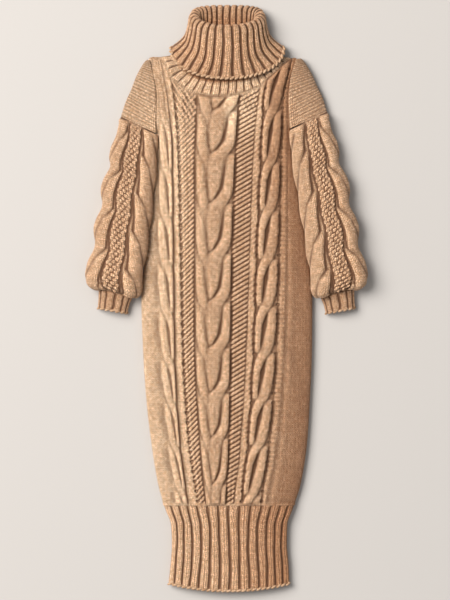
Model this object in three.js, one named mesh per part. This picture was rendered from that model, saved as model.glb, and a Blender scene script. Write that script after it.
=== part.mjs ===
// A chunky knitted roll-neck sweater dress, laid flat on its back.
// Millimetres. +X is the wearer's left (the viewer's right), +Y runs from hem to neck, +Z is up.
// The origin is under the middle of the dress, on the table.
import * as THREE from "three";

// Driving sizes
const DRESS_LENGTH = 1402; // hem edge to the top of the roll collar
const HEM_SEAM_Y = -497; // where the hem rib is joined on
const UNDERARM_Y = 395;
const BODY_WALL = 4;
const RIB_WALL = 4;
const COLLAR_WALL = 5;
const SEAM_GAP = 0.3; // between two pieces that are sewn together
const SIDE_SEAM_Z = 9; // height of the side seam over the table
const ARMHOLE_FRONT_Z = 25; // height of the front panel's armhole edge
const BODY_ARCH = 2.7; // how square-shouldered the body's arch is across

// Relief of the knitting
const ROPE_HEIGHT = 6;
const STAGHORN_HEIGHT = 6;
const PANEL_HEIGHT = 1.6;
const RIB_HEIGHT = 3;
const COLLAR_RIB_HEIGHT = 3;
const YOKE_RIB_HEIGHT = 1.6;
const GARTER_HEIGHT = 1;
const HEM_RIBS = 14;
const COLLAR_RIBS = 30;
const YOKE_RIBS = 15;
const CUFF_RIBS = 12;
const GARTER_ROWS = 9;

const CAMEL = 0xc79a70;
const CAMEL_DARK = 0xb98a60;

// Outline of the body, from the hem seam up: its left and right edges, and how high the front stands
const BODY_SIDES = [
  { y: -497, left: -150, right: 162, crown: 31 },
  { y: -446, left: -164, right: 178, crown: 33 },
  { y: -341, left: -181, right: 194, crown: 35 },
  { y: -245, left: -192, right: 200, crown: 36 },
  { y: -125, left: -200, right: 205, crown: 36 },
  { y: -5, left: -204, right: 206, crown: 36 },
  { y: 115, left: -192, right: 194, crown: 35 },
  { y: 235, left: -179, right: 175, crown: 34 },
  { y: 355, left: -169, right: 157, crown: 34 },
  { y: 475, left: -169, right: 150, crown: 35 },
  { y: 523, left: -175, right: 154, crown: 36 },
  { y: 571, left: -186, right: 168, crown: 36 },
];

// Where each knitted column of the front starts across the dress, at each height
const FRONT_COLUMNS = [
  { y: -497, ropeL: -119, stitchL: -92, slantL: -67, horn: -50,
    slantR: -2, stitchR: 17, ropeR: 35, holes: 82, plain: 95 },
  { y: -341, ropeL: -139, stitchL: -112, slantL: -90, horn: -65,
    slantR: 6, stitchR: 34, ropeR: 53, holes: 103, plain: 122 },
  { y: -125, ropeL: -157, stitchL: -124, slantL: -104, horn: -76,
    slantR: 10, stitchR: 47, ropeR: 66, holes: 119, plain: 138 },
  { y: 115, ropeL: -163, stitchL: -127, slantL: -109, horn: -77,
    slantR: 13, stitchR: 55, ropeR: 74, holes: 126, plain: 144 },
  { y: 355, ropeL: -160, stitchL: -130, slantL: -115, horn: -76,
    slantR: 22, stitchR: 64, ropeR: 84, holes: 131, plain: 146 },
  { y: 475, ropeL: -160, stitchL: -141, slantL: -124, horn: -71,
    slantR: 30, stitchR: 76, ropeR: 90, holes: 136, plain: 145 },
  { y: 571, ropeL: -176, stitchL: -158, slantL: -140, horn: -75,
    slantR: 38, stitchR: 92, ropeR: 112, holes: 156, plain: 163 },
];

// The front's top edge at each of those lines: shoulder, curve under the neck yoke, shoulder
const FRONT_TOP = {
  left: 573,
  ropeL: 578,
  stitchL: 577,
  slantL: 523,
  horn: 490,
  slantR: 490,
  stitchR: 507,
  ropeR: 528,
  holes: 574,
  plain: 576,
  right: 573,
};
const NECK_DIP = 7; // how far that curve hangs below its ends over the staghorn

// Heights at which the two strands of a rope cable cross, and at which the staghorn's horns meet
const ROPE_RIGHT_TURNS = [-471, -352, -243, -132, -20, 93, 209, 326, 448];
const ROPE_LEFT_TURNS = [-458, -356, -252, -148, -34, 79, 193, 308, 424, 536];
const HORN_TURNS = [-464, -353, -244, -136, -27, 90, 210, 330, 448];

// Hem rib, from its edge up
const HEM_SIDES = [
  { share: 0, left: -139, right: 151 },
  { share: 0.25, left: -134, right: 149 },
  { share: 0.5, left: -131, right: 145 },
  { share: 0.75, left: -133, right: 146 },
  { share: 0.93, left: -145, right: 157 },
  { share: 1, left: -150, right: 162 },
];
const HEM_CROWN = 25;
const HEM_EDGE_MIDDLE_Y = -DRESS_LENGTH / 2;
const HEM_EDGE_SAG = 17; // how far the edge's middle hangs below its ends

// Left sleeve from the cuff seam up. reach and innerReach: how far its outer and inner edges lie from the
// dress's middle. outerY and innerY: the slant of that round. The right sleeve mirrors it.
const SLEEVE_ROUNDS = [
  { reach: 304.3, outerY: 25, innerY: 3, innerReach: 226.3, height: 27 },
  { reach: 311, outerY: 26.5, innerY: 4.7, innerReach: 220, height: 35 },
  { reach: 322, outerY: 30, innerY: 9.5, innerReach: 211.7, height: 43 },
  { reach: 331.7, outerY: 38.4, innerY: 21.6, innerReach: 208.5, height: 48 },
  { reach: 334.7, outerY: 54, innerY: 38.4, innerReach: 207.5, height: 50 },
  { reach: 326, outerY: 86.4, innerY: 64.8, innerReach: 203.5, height: 50 },
  { reach: 311.5, outerY: 124.8, innerY: 98.4, innerReach: 198.5, height: 49 },
  { reach: 313.2, outerY: 158.4, innerY: 129.6, innerReach: 193.5, height: 48 },
  { reach: 308, outerY: 184.8, innerY: 156, innerReach: 189.5, height: 47 },
  { reach: 294, outerY: 220.8, innerY: 188.4, innerReach: 184.5, height: 45 },
  { reach: 296.4, outerY: 252, innerY: 218.4, innerReach: 180, height: 44 },
  { reach: 291, outerY: 278.4, innerY: 242.4, innerReach: 177, height: 43 },
  { reach: 275, outerY: 314.4, innerY: 278.4, innerReach: 174, height: 40 },
  { reach: 277, outerY: 333.6, innerY: 297.6, innerReach: 172, height: 39 },
  { reach: 272.4, outerY: 355.2, innerY: 319.2, innerReach: 171, height: 38 },
  { reach: 258, outerY: 393.6, innerY: 357.6, innerReach: 170, height: 35 },
  { reach: 253.2, outerY: 432, innerY: 392.4, innerReach: 169.5, height: 27 },
];
const RIGHT_LIFT = 12; // the right sleeve's seam sits this much higher
const RIGHT_SHOULDER_IN = 12; // the right shoulder is this much nearer the middle
const LIFT_FROM_Y = 120; // both differences fade out down to here
const LEVEL_FROM_Y = 470; // and the lift fades to a quarter from here up

const CUFF_ROUNDS = [
  { reach: 306, outerY: -24, innerY: -36, innerReach: 240, height: 24 },
  { reach: 304.5, outerY: 2, innerY: -14, innerReach: 234, height: 25 },
  { reach: 304.3, outerY: 24.4, innerY: 2.4, innerReach: 226.3, height: 27 },
];

// Shoulder piece from the sleeve seam up to the neck end. armY: where the round meets the body's armhole edge
const SHOULDER_ROUNDS = [
  { reach: 253.2, outerY: 433.4, armY: 393.8, height: 27 },
  { reach: 241.2, outerY: 470.4, armY: 427, height: 27 },
  { reach: 229.2, outerY: 496.8, armY: 465, height: 27 },
  { reach: 217.2, outerY: 528, armY: 506, height: 30 },
  { reach: 206.4, outerY: 549.6, armY: 538, height: 28 },
  { reach: 195.6, outerY: 566, armY: 561, height: 24 },
  { reach: 190.5, outerY: 570.5, armY: 569, height: 16 },
];

// Middle of the collar's wall, from the turned-down edge up over the fold and down inside to the neck seam
const COLLAR_ROUNDS = [
  { half: 134.5, frontY: 525, sideY: 596, backY: 600, top: 46.5, bottom: 2.8 },
  { half: 117, frontY: 545, sideY: 607, backY: 613, top: 48, bottom: 2.8 },
  { half: 97, frontY: 576, sideY: 627, backY: 642, top: 55, bottom: 2.8 },
  { half: 89.5, frontY: 612, sideY: 652, backY: 672, top: 61, bottom: 2.8 },
  { half: 87, frontY: 635, sideY: 668, backY: 689, top: 64, bottom: 4 },
  { half: 79.5, frontY: 646, sideY: 677, backY: 697, top: 62, bottom: 9 },
  { half: 71, frontY: 640, sideY: 671, backY: 690, top: 54, bottom: 15 },
  { half: 69, frontY: 614, sideY: 650, backY: 668, top: 50, bottom: 15 },
  { half: 76, frontY: 580, sideY: 618, backY: 628, top: 45, bottom: 11.5 },
  { half: 90, frontY: 549, sideY: 588, backY: 593, top: 39.5, bottom: 8.4 },
];
const COLLAR_MIDDLE_X = 2;

// Smooth curve through a table's rows, never past its neighbours' values
function through(rows, key, column) {
  const x = rows.map((row) => row[key]);
  const y = rows.map((row) => row[column]);
  const rise = x.slice(1).map((end, i) => (y[i + 1] - y[i]) / (end - x[i]));
  const slope = x.map((_, i) => {
    if (i === 0) return rise[0];
    if (i === x.length - 1) return rise[i - 1];
    return rise[i - 1] * rise[i] <= 0 ? 0 : (2 * rise[i - 1] * rise[i]) / (rise[i - 1] + rise[i]);
  });
  return (at) => {
    let i = 0;
    while (i < x.length - 2 && at > x[i + 1]) i++;
    const width = x[i + 1] - x[i];
    const t = THREE.MathUtils.clamp((at - x[i]) / width, 0, 1);
    const left = y[i] + slope[i] * width * t * (1 - t) ** 2 + (y[i + 1] - y[i]) * t * t * (3 - 2 * t);
    return left - slope[i + 1] * width * t * t * (1 - t);
  };
}

const smooth = (from, to, at) => {
  const t = THREE.MathUtils.clamp((at - from) / (to - from), 0, 1);
  return t * t * (3 - 2 * t);
};
const mix = THREE.MathUtils.lerp;
const evenly = (count) => Array.from({ length: count + 1 }, (_, i) => i / count);

// Height of a round-shouldered arch at a share 0..1 of its width
const arch = (share, power) => (1 - Math.abs(2 * share - 1) ** power) ** (1 / power);

// Columns denser at the two edges, where an arch turns down
const edgeDense = (count) => evenly(count).map((t) => mix(t, t * t * (3 - 2 * t), 0.85));

const bodyLeft = through(BODY_SIDES, "y", "left");
const bodyRight = through(BODY_SIDES, "y", "right");
const bodyCrown = through(BODY_SIDES, "y", "crown");

// One closed mesh from an outside face, its relief and a plain inside a wall's thickness in.
// face(u, v) gives a point; u runs so that the face looks out. Where ring is set, u closes on itself.
// limit trims each point to the piece's own side of a seam.
function cloth(plan) {
  const { face, us, vs, innerUs, innerVs, wall } = plan;
  const { relief = () => 0, limit = (p) => p, ring = false, middle = false } = plan;
  const step = 1e-3;
  const share = (t) => THREE.MathUtils.clamp(t, 0, 1);
  const at = (u, v) => face(ring ? u - Math.floor(u) : share(u), share(v));
  const normal = (u, v) => {
    const across = at(u + step, v).sub(at(u - step, v));
    const along = at(u, v + step).sub(at(u, v - step));
    return across.cross(along).normalize();
  };
  const points = [];
  const grid = (gridUs, gridVs, offset) => {
    const first = points.length;
    for (const v of gridVs)
      for (const u of gridUs) points.push(limit(at(u, v).addScaledVector(normal(u, v), offset(u, v))));
    return (i, j) => first + j * gridUs.length + (ring ? i % gridUs.length : i);
  };
  const half = middle ? wall / 2 : 0;
  const outer = grid(us, vs, (u, v) => half + relief(u, v));
  const inner = grid(innerUs, innerVs, () => half - wall);
  const faces = [];
  const skin = (id, gridUs, gridVs, flip) => {
    const across = gridUs.length - (ring ? 0 : 1);
    for (let j = 0; j < gridVs.length - 1; j++)
      for (let i = 0; i < across; i++) {
        const [a, b, c, d] = [id(i, j), id(i + 1, j), id(i + 1, j + 1), id(i, j + 1)];
        faces.push(...(flip ? [a, c, b, a, d, c] : [a, b, c, a, c, d]));
      }
  };
  skin(outer, us, vs, false);
  skin(inner, innerUs, innerVs, true);
  // Joins an outer border to the inner border beside it, which may have fewer points
  const rim = (outerIds, outerAt, innerIds, innerAt) => {
    let [i, j] = [0, 0];
    while (i < outerIds.length - 1 || j < innerIds.length - 1) {
      const outerNext = i < outerIds.length - 1 && outerAt[i + 1] <= innerAt[j + 1];
      const stepOuter = j === innerIds.length - 1 || outerNext;
      if (stepOuter) faces.push(outerIds[i + 1], outerIds[i], innerIds[j]);
      else faces.push(outerIds[i], innerIds[j], innerIds[j + 1]);
      if (stepOuter) i++;
      else j++;
    }
  };
  const closed = (list) => (ring ? [...list, 1] : list);
  const row = (id, gridUs, j) => closed(gridUs).map((_, i) => id(i, j));
  const column = (id, gridVs, i) => gridVs.map((_, j) => id(i, j));
  const backwards = (list) => [...list].reverse();
  const mirrored = (list) => backwards(list).map((t) => 1 - t);
  rim(row(outer, us, 0), closed(us), row(inner, innerUs, 0), closed(innerUs));
  rim(backwards(row(outer, us, vs.length - 1)), mirrored(closed(us)),
    backwards(row(inner, innerUs, innerVs.length - 1)), mirrored(closed(innerUs)));
  if (!ring) {
    rim(backwards(column(outer, vs, 0)), mirrored(vs),
      backwards(column(inner, innerVs, 0)), mirrored(innerVs));
    rim(column(outer, vs, us.length - 1), vs, column(inner, innerVs, innerUs.length - 1), innerVs);
  }
  const geometry = new THREE.BufferGeometry().setFromPoints(points);
  geometry.setIndex(faces);
  geometry.computeVertexNormals();
  return geometry;
}

function piece(name, colour, geometry) {
  const wool = new THREE.MeshStandardMaterial({ color: colour, roughness: 0.95, metalness: 0 });
  const mesh = new THREE.Mesh(geometry, wool);
  mesh.name = name;
  return mesh;
}

// How many turns lie below a height, with the part of the next one
function turnsPassed(y, turns) {
  if (y < turns[0]) return (y - turns[0]) / (turns[1] - turns[0]);
  if (y > turns.at(-1)) return turns.length - 1 + (y - turns.at(-1)) / (turns.at(-1) - turns.at(-2));
  return through(turns.map((turn, i) => ({ turn, i })), "turn", "i")(y);
}

// Two strands twisted round each other. across runs -1..1, turns are the heights where they cross
function ropeRelief(across, y, turns, lean) {
  const angle = Math.PI * (turnsPassed(y, turns) + 0.5);
  const strand = (sign) => {
    const off = (across - sign * lean * 0.45 * Math.cos(angle)) / 0.62;
    return Math.abs(off) >= 1 ? 0 : Math.sqrt(1 - off * off) * (0.75 + 0.25 * sign * Math.sin(angle));
  };
  return Math.max(strand(1), strand(-1));
}

// A staghorn: two horns that close towards the middle at each turn, with a raised tongue between
function hornRelief(across, y, turns) {
  let i = 0;
  while (i < turns.length - 1 && y > turns[i]) i++;
  const top = turns[i];
  const bottom = i > 0 ? turns[i - 1] : top - 110;
  const share = THREE.MathUtils.clamp((top - y) / (top - bottom), 0, 1);
  const centre = 0.68 - 0.55 * share ** 2.2;
  const horn = 1 - ((Math.abs(across) - centre) / 0.34) ** 2;
  const tongue = 0.8 * (1 - (across / Math.max(0.12, 0.62 - 0.6 * share)) ** 2);
  return Math.max(0, horn, tongue * (1 - 0.5 * share));
}

// Front of the body
const columnNames = ["ropeL", "stitchL", "slantL", "horn", "slantR", "stitchR", "ropeR", "holes", "plain"];
const columnLines = [bodyLeft, ...columnNames.map((name) => through(FRONT_COLUMNS, "y", name)), bodyRight];
const topLines = ["left", ...columnNames, "right"].map((name) => FRONT_TOP[name]);
const COLUMN_STEPS = [4, 5, 1, 2, 6, 2, 1, 5, 1, 4];
const columnUs = (steps, k) => evenly(steps).slice(k ? 1 : 0).map((t) => (k + t) / COLUMN_STEPS.length);
const frontUs = COLUMN_STEPS.flatMap(columnUs);
const topCurve = through(topLines.map((y, i) => ({ i, y })), "i", "y");
const dipAt = (place) => NECK_DIP * Math.sin(Math.PI * THREE.MathUtils.clamp(place - 4, 0, 1));
const topAt = (place) => topCurve(place) - dipAt(place);

// Share 0..1 across the body at a grid position: even steps along the column lines, denser at the sides
function frontX(u, y) {
  const k = Math.min(Math.floor(u * COLUMN_STEPS.length), COLUMN_STEPS.length - 1);
  const t = u * COLUMN_STEPS.length - k;
  const eased = k === 0 ? t ** 1.8 : k === COLUMN_STEPS.length - 1 ? 1 - (1 - t) ** 1.8 : t;
  return mix(columnLines[k](y), columnLines[k + 1](y), eased);
}

// Height of the front's smooth face over the table. Its edges come down to the side seams, stay up along
// the armholes, and come down again along the shoulders.
function frontHeight(x, y, shoulderY) {
  const share = THREE.MathUtils.clamp((x - bodyLeft(y)) / (bodyRight(y) - bodyLeft(y)), 0, 1);
  const edge = mix(SIDE_SEAM_Z, ARMHOLE_FRONT_Z, smooth(UNDERARM_Y - 14, UNDERARM_Y + 26, y));
  const shoulder = smooth(0, 42, shoulderY - y) ** 0.6;
  return mix(SIDE_SEAM_Z, edge + (bodyCrown(y) - edge) * arch(share, BODY_ARCH), shoulder);
}

function frontFace(u, v) {
  const top = topAt(u * COLUMN_STEPS.length);
  const y = mix(HEM_SEAM_Y, top, v);
  const x = frontX(u, y);
  const shoulderY = mix(577, 592, smooth(160, 100, Math.abs(x + 6)));
  return new THREE.Vector3(x, y, frontHeight(x, y, shoulderY));
}

function frontRelief(u, v) {
  const place = u * COLUMN_STEPS.length;
  const k = Math.min(Math.floor(place), COLUMN_STEPS.length - 1);
  const across = 2 * (place - k) - 1;
  const y = mix(HEM_SEAM_Y, topAt(place), v);
  const fade = smooth(0, 0.02, v) * smooth(1, 0.98, v);
  if (k === 1) return fade * 0.45 * ROPE_HEIGHT * ropeRelief(across, y, ROPE_LEFT_TURNS, -1);
  if (k === 7) return fade * ROPE_HEIGHT * ropeRelief(across, y, ROPE_RIGHT_TURNS, -1);
  if (k === 4) return fade * STAGHORN_HEIGHT * hornRelief(across, y, HORN_TURNS);
  if (k === 3 || k === 5) return fade * PANEL_HEIGHT;
  return 0;
}

const FRONT_INNER_LINES = [0, 0.3, 1, 1.5, 2, 3, 3.5, 4, 4.33, 4.67, 5, 5.5, 6, 7, 7.5, 8, 9, 9.7, 10];
const aboveSeam = (p) => p.setZ(Math.max(p.z, SIDE_SEAM_Z));
const belowSeam = (p) => p.setZ(Math.min(p.z, SIDE_SEAM_Z - SEAM_GAP));
const overHemSeam = (p) => p.setY(Math.max(p.y, HEM_SEAM_Y));
const underHemSeam = (p) => p.setY(Math.min(p.y, HEM_SEAM_Y - SEAM_GAP));

const frontBody = () => piece("front_body", CAMEL, cloth({
  face: frontFace, us: frontUs, vs: evenly(56), wall: BODY_WALL, relief: frontRelief,
  innerUs: FRONT_INNER_LINES.map((k) => k / COLUMN_STEPS.length), innerVs: evenly(20),
  limit: (p) => aboveSeam(overHemSeam(p)),
}));

// Back of the body: flat on the table, turned up at its side seams and lifted at the neck
const BACK_TOP = [
  { share: 0, y: 573 },
  { share: 0.06, y: 577 },
  { share: 0.2, y: 584 },
  { share: 0.3, y: 588 },
  { share: 0.72, y: 588 },
  { share: 0.82, y: 584 },
  { share: 0.95, y: 576 },
  { share: 1, y: 573 },
];
const backTop = through(BACK_TOP, "share", "y");
const NECK_LIFT = 5.6;

function backFace(u, v) {
  const share = 1 - u;
  const y = mix(HEM_SEAM_Y, backTop(share), v);
  const x = mix(bodyLeft(y), bodyRight(y), share);
  const sideLift = mix(SIDE_SEAM_Z - SEAM_GAP, 0, smooth(UNDERARM_Y - 26, UNDERARM_Y + 4, y));
  const neck = smooth(90, 70, Math.abs(x - COLLAR_MIDDLE_X));
  const endLift = mix(SIDE_SEAM_Z - 1.5, NECK_LIFT, neck) * smooth(48, 0, backTop(share) - y) ** 1.6;
  return new THREE.Vector3(x, y, Math.max(sideLift * (1 - arch(share, 7)), 0) + endLift);
}

const backBody = () => piece("back_body", CAMEL_DARK, cloth({
  face: backFace, us: edgeDense(16), vs: [...evenly(12).slice(0, -2), 0.875, 0.915, 0.94, 0.96, 0.98, 1],
  innerUs: edgeDense(14), innerVs: [...evenly(9).slice(0, -1), 0.915, 0.94, 0.96, 0.98, 1], wall: BODY_WALL,
  limit: (p) => belowSeam(overHemSeam(p)),
}));

// Hem rib, front and back
const hemLeft = through(HEM_SIDES, "share", "left");
const hemRight = through(HEM_SIDES, "share", "right");
const ribWave = (place) => {
  const t = 2 * Math.abs(place - Math.floor(place) - 0.5);
  return 1 - t ** 3;
};
const ribUs = (ribs) => {
  const places = Array.from({ length: ribs }, (_, i) => [i, i + 0.25, i + 0.75]).flat();
  return [...places, ribs].map((t) => t / ribs);
};

function hemPoint(share, v, z) {
  const x = mix(hemLeft(v), hemRight(v), share);
  const edgeY = HEM_EDGE_MIDDLE_Y + HEM_EDGE_SAG * (2 * share - 1) ** 2;
  return new THREE.Vector3(x, mix(edgeY, HEM_SEAM_Y - SEAM_GAP, v), z);
}
const hemEase = (u) => mix(u, 0.5 - 0.5 * Math.cos(Math.PI * u), 0.35);
const hemFrontFace = (u, v) => {
  const share = hemEase(u);
  const crown = mix(HEM_CROWN, bodyCrown(HEM_SEAM_Y), v);
  return hemPoint(share, v, SIDE_SEAM_Z + (crown - SIDE_SEAM_Z) * arch(share, BODY_ARCH));
};
const hemBackFace = (u, v) => hemPoint(1 - u, v, (SIDE_SEAM_Z - SEAM_GAP) * (1 - arch(u, 7)));
const hemFront = () => piece("hem_rib_front", CAMEL, cloth({
  face: hemFrontFace, us: ribUs(HEM_RIBS), vs: evenly(7), wall: RIB_WALL,
  innerUs: edgeDense(12), innerVs: evenly(5),
  relief: (u) => RIB_HEIGHT * ribWave(u * HEM_RIBS), limit: (p) => aboveSeam(underHemSeam(p)),
}));
const hemBack = () => piece("hem_rib_back", CAMEL_DARK, cloth({
  face: hemBackFace, us: edgeDense(12), vs: evenly(6), wall: RIB_WALL,
  innerUs: edgeDense(10), innerVs: evenly(5), limit: (p) => belowSeam(underHemSeam(p)),
}));

// A flattened round: share 0..1 of its length from the inner or left side, over the top, and back underneath
function roundAt(share, topPower, bottomPower) {
  const angle = Math.PI * (1 - 2 * share);
  const [c, s] = [Math.cos(angle), Math.sin(angle)];
  const across = Math.sign(c) * Math.abs(c) ** (2 / topPower);
  const down = Math.max(0, 1 - Math.abs(across) ** bottomPower) ** (1 / bottomPower);
  return { across, up: s >= 0 ? s ** (2 / topPower) : -down };
}
const tableCurves = (rows, names) => {
  const numbered = rows.map((row, i) => ({ ...row, i: i / (rows.length - 1) }));
  return Object.fromEntries(names.map((name) => [name, through(numbered, "i", name)]));
};

// Roll collar: one tube, its wall going up outside, over the fold and down inside
const collarCurves = tableCurves(COLLAR_ROUNDS, ["half", "frontY", "sideY", "backY", "top", "bottom"]);
function collarFace(u, v) {
  const { across, up } = roundAt(u, 2.1, 3.2);
  const at = Object.fromEntries(Object.entries(collarCurves).map(([name, curve]) => [name, curve(v)]));
  const middle = mix(at.bottom, at.top, 0.4);
  return new THREE.Vector3(
    COLLAR_MIDDLE_X + at.half * across,
    up >= 0 ? mix(at.sideY, at.frontY, up) : mix(at.sideY, at.backY, -up),
    up >= 0 ? mix(middle, at.top, up) : mix(middle, at.bottom, -up),
  );
}
const collarUs = ribUs(COLLAR_RIBS).slice(0, -1);
const collar = () => piece("roll_collar", CAMEL, cloth({
  face: collarFace, us: collarUs, vs: [0, 0.1, 0.22, 0.36, 0.45, 0.52, 0.59, 0.68, 0.84, 1],
  innerUs: evenly(36).slice(0, -1), innerVs: [0, 0.14, 0.3, 0.43, 0.5, 0.57, 0.7, 0.85, 1], wall: COLLAR_WALL,
  ring: true, middle: true,
  relief: (u, v) => {
    const flat = u > 0.5 && v < 0.5 ? 1 - smooth(0.5, 0.56, u) * smooth(1, 0.94, u) : 1;
    return COLLAR_RIB_HEIGHT * ribWave(u * COLLAR_RIBS) * flat * smooth(1, 0.9, v) * smooth(0, 0.05, v);
  },
}));

// Neck yoke, from the front's curved top edge up to the collar's neck seam
const YOKE_SEAM = 2; // clear of both edges, whose straight facets differ
const inYoke = (u) => u > 0.2 - 1e-6 && u < 0.8 + 1e-6;
const yokeEdge = frontUs.filter(inYoke).map((u) => frontFace(u, 1));
const yokeRun = yokeEdge.map((_, i) =>
  yokeEdge.slice(1, i + 1).reduce((sum, point, j) => sum + point.distanceTo(yokeEdge[j]), 0));

// Point at a share 0..1 of the front's top edge under the neck, measured along its straight facets
function frontTopEdge(share) {
  const along = share * yokeRun.at(-1);
  const next = Math.max(1, yokeRun.findIndex((run) => run >= along - 1e-9));
  const part = (along - yokeRun[next - 1]) / (yokeRun[next] - yokeRun[next - 1]);
  return yokeEdge[next - 1].clone().lerp(yokeEdge[next], part);
}

function yokeFace(u, v) {
  const outer = frontTopEdge(u);
  const inner = collarFace(0.5 * u, 1);
  inner.addScaledVector(inner.clone().sub(collarFace(0.5 * u, 0.96)).normalize(), 1.9 * YOKE_SEAM);
  inner.z += COLLAR_WALL / 2 - 1.6;
  const start = outer.clone().addScaledVector(inner.clone().sub(outer).normalize(), YOKE_SEAM);
  return start.lerp(inner, v);
}
const yoke = () => piece("neck_yoke", CAMEL, cloth({
  face: yokeFace, us: ribUs(YOKE_RIBS), vs: evenly(4), wall: BODY_WALL,
  innerUs: evenly(20), innerVs: evenly(3), limit: aboveSeam,
  relief: (u, v) => YOKE_RIB_HEIGHT * ribWave(u * YOKE_RIBS) * smooth(1, 0.9, v),
}));

// A point of the left side's tables, mirrored for the right, whose shoulder is a little higher and further in
function sidePoint(side, reach, y) {
  const share = side > 0 ? smooth(LIFT_FROM_Y, UNDERARM_Y, y) : 0;
  const lift = RIGHT_LIFT * (1 - 0.75 * smooth(LEVEL_FROM_Y, 566, y));
  return { x: side * (reach - RIGHT_SHOULDER_IN * share), y: y + lift * share };
}

// Reach of the body's own edge on one side
const bodyReach = (side, y) => (side > 0 ? bodyRight(y) : -bodyLeft(y));

// Sleeves and cuffs: a flattened tube of slanting rounds, clear of the body's side
const BODY_CLEAR = 2.2;
function tubeFace(side, rows) {
  const curves = tableCurves(rows, ["reach", "outerY", "innerY", "innerReach", "height"]);
  return (u, v) => {
    const { across, up } = roundAt(u, 2.3, 4);
    const outer = sidePoint(side, curves.reach(v), curves.outerY(v));
    const inner = sidePoint(side, curves.innerReach(v), curves.innerY(v));
    inner.x = side * Math.max(bodyReach(side, inner.y) + BODY_CLEAR, side * inner.x);
    const t = (1 - side * across) / 2;
    const height = curves.height(v);
    const middle = 0.4 * height;
    const z = up >= 0 ? mix(middle, height, up) : mix(middle, 0, -up);
    return new THREE.Vector3(mix(outer.x, inner.x, t), mix(outer.y, inner.y, t), z);
  };
}

// Sleeve relief: an outer and an inner rope cable with a textured panel between, on the side that shows
const SLEEVE_TURNS = [0.1, 0.32, 0.53, 0.74, 0.95];
function sleeveRelief(side) {
  return (u, v) => {
    const outward = side < 0 ? u : 0.5 - u;
    if (outward > 0.5 || outward < 0) return 0;
    const fade = smooth(0, 0.12, v) * smooth(1, 0.96, v);
    const ropeAt = (middle, half) => ropeRelief((outward - middle) / half, v, SLEEVE_TURNS, side);
    if (outward < 0.2) return fade * ROPE_HEIGHT * ropeAt(0.1, 0.1);
    if (outward > 0.36) return fade * ROPE_HEIGHT * ropeAt(0.43, 0.07);
    return fade * PANEL_HEIGHT;
  };
}
const SIDES = [{ name: "left", side: -1 }, { name: "right", side: 1 }];
const SLEEVE_AROUND = 26;
const sleeve = ({ name, side }) => piece(`${name}_sleeve`, CAMEL, cloth({
  face: tubeFace(side, SLEEVE_ROUNDS), us: evenly(SLEEVE_AROUND).slice(0, -1),
  vs: [0, 0.04, 0.08, 0.13, ...evenly(26).slice(5)], innerUs: evenly(16).slice(0, -1),
  innerVs: [0, 0.06, 0.13, ...evenly(10).slice(2)], wall: BODY_WALL, ring: true, relief: sleeveRelief(side),
}));
const cuff = ({ name, side }) => piece(`${name}_cuff`, CAMEL, cloth({
  face: tubeFace(side, CUFF_ROUNDS), us: ribUs(CUFF_RIBS).slice(0, -1), vs: evenly(4),
  innerUs: evenly(18).slice(0, -1), innerVs: evenly(3), wall: RIB_WALL, ring: true,
  relief: (u, v) => (u > 0.5 ? 0 : 0.8 * RIB_HEIGHT * ribWave(u * CUFF_RIBS) * smooth(1, 0.85, v)),
}));

// Shoulder piece: wraps from the front's armhole edge over the outside to the back's
const ARMHOLE_GAP = 1.2;
function shoulderFace(side) {
  const curves = tableCurves(SHOULDER_ROUNDS, ["reach", "outerY", "armY", "height"]);
  return (u, v) => {
    const angle = side < 0 ? -Math.PI / 2 - Math.PI * u : Math.PI / 2 - Math.PI * u;
    const out = Math.abs(Math.cos(angle)) ** (2 / 2.6);
    const sine = Math.sin(angle);
    const outer = sidePoint(side, curves.reach(v), curves.outerY(v));
    const armY = sidePoint(side, 0, curves.armY(v)).y;
    const innerX = side * (bodyReach(side, armY) + ARMHOLE_GAP);
    const height = curves.height(v);
    const middle = 0.42 * height;
    const z = sine >= 0 ? mix(middle, height, sine ** 0.75) : mix(middle, 0, (-sine) ** 0.45);
    return new THREE.Vector3(mix(innerX, outer.x, out), mix(armY, outer.y, out), z);
  };
}
const garterRelief = (side) => (u, v) => {
  const shown = (side < 0 ? u : 1 - u) > 0.35;
  return shown ? GARTER_HEIGHT * (Math.round(v * 2 * GARTER_ROWS) % 2) : 0;
};
const shoulder = ({ name, side }) => piece(`${name}_shoulder`, CAMEL, cloth({
  face: shoulderFace(side), us: evenly(16), vs: evenly(2 * GARTER_ROWS), wall: BODY_WALL,
  innerUs: evenly(12), innerVs: evenly(9), relief: garterRelief(side),
}));

const dress = new THREE.Group();
dress.add(frontBody(), backBody(), hemFront(), hemBack(), yoke(), collar());
for (const side of SIDES) dress.add(shoulder(side), sleeve(side), cuff(side));
export default dress;
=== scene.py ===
"""A chunky cable-knit sweater dress with a roll collar, laid flat on a pale table."""
from functools import partial

import bmesh
import bpy
import numpy as np
from bpy.props import FloatProperty, FloatVectorProperty, IntProperty, PointerProperty
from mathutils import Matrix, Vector


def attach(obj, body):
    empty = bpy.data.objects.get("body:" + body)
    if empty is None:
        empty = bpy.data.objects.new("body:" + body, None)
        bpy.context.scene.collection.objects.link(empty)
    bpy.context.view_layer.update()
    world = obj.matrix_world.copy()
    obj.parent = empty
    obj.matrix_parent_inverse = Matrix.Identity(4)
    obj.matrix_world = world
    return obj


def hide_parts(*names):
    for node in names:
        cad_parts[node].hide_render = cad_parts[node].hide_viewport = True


bl_info = {
    "name": "Cable-knit sweater dress",
    "version": (1, 0, 0),
    "blender": (4, 5, 0),
    "location": "View3D > Sidebar > Dress",
    "description": "Builds a knitted roll-neck dress laid flat, piece by piece",
    "category": "Add Mesh",
}

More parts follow.
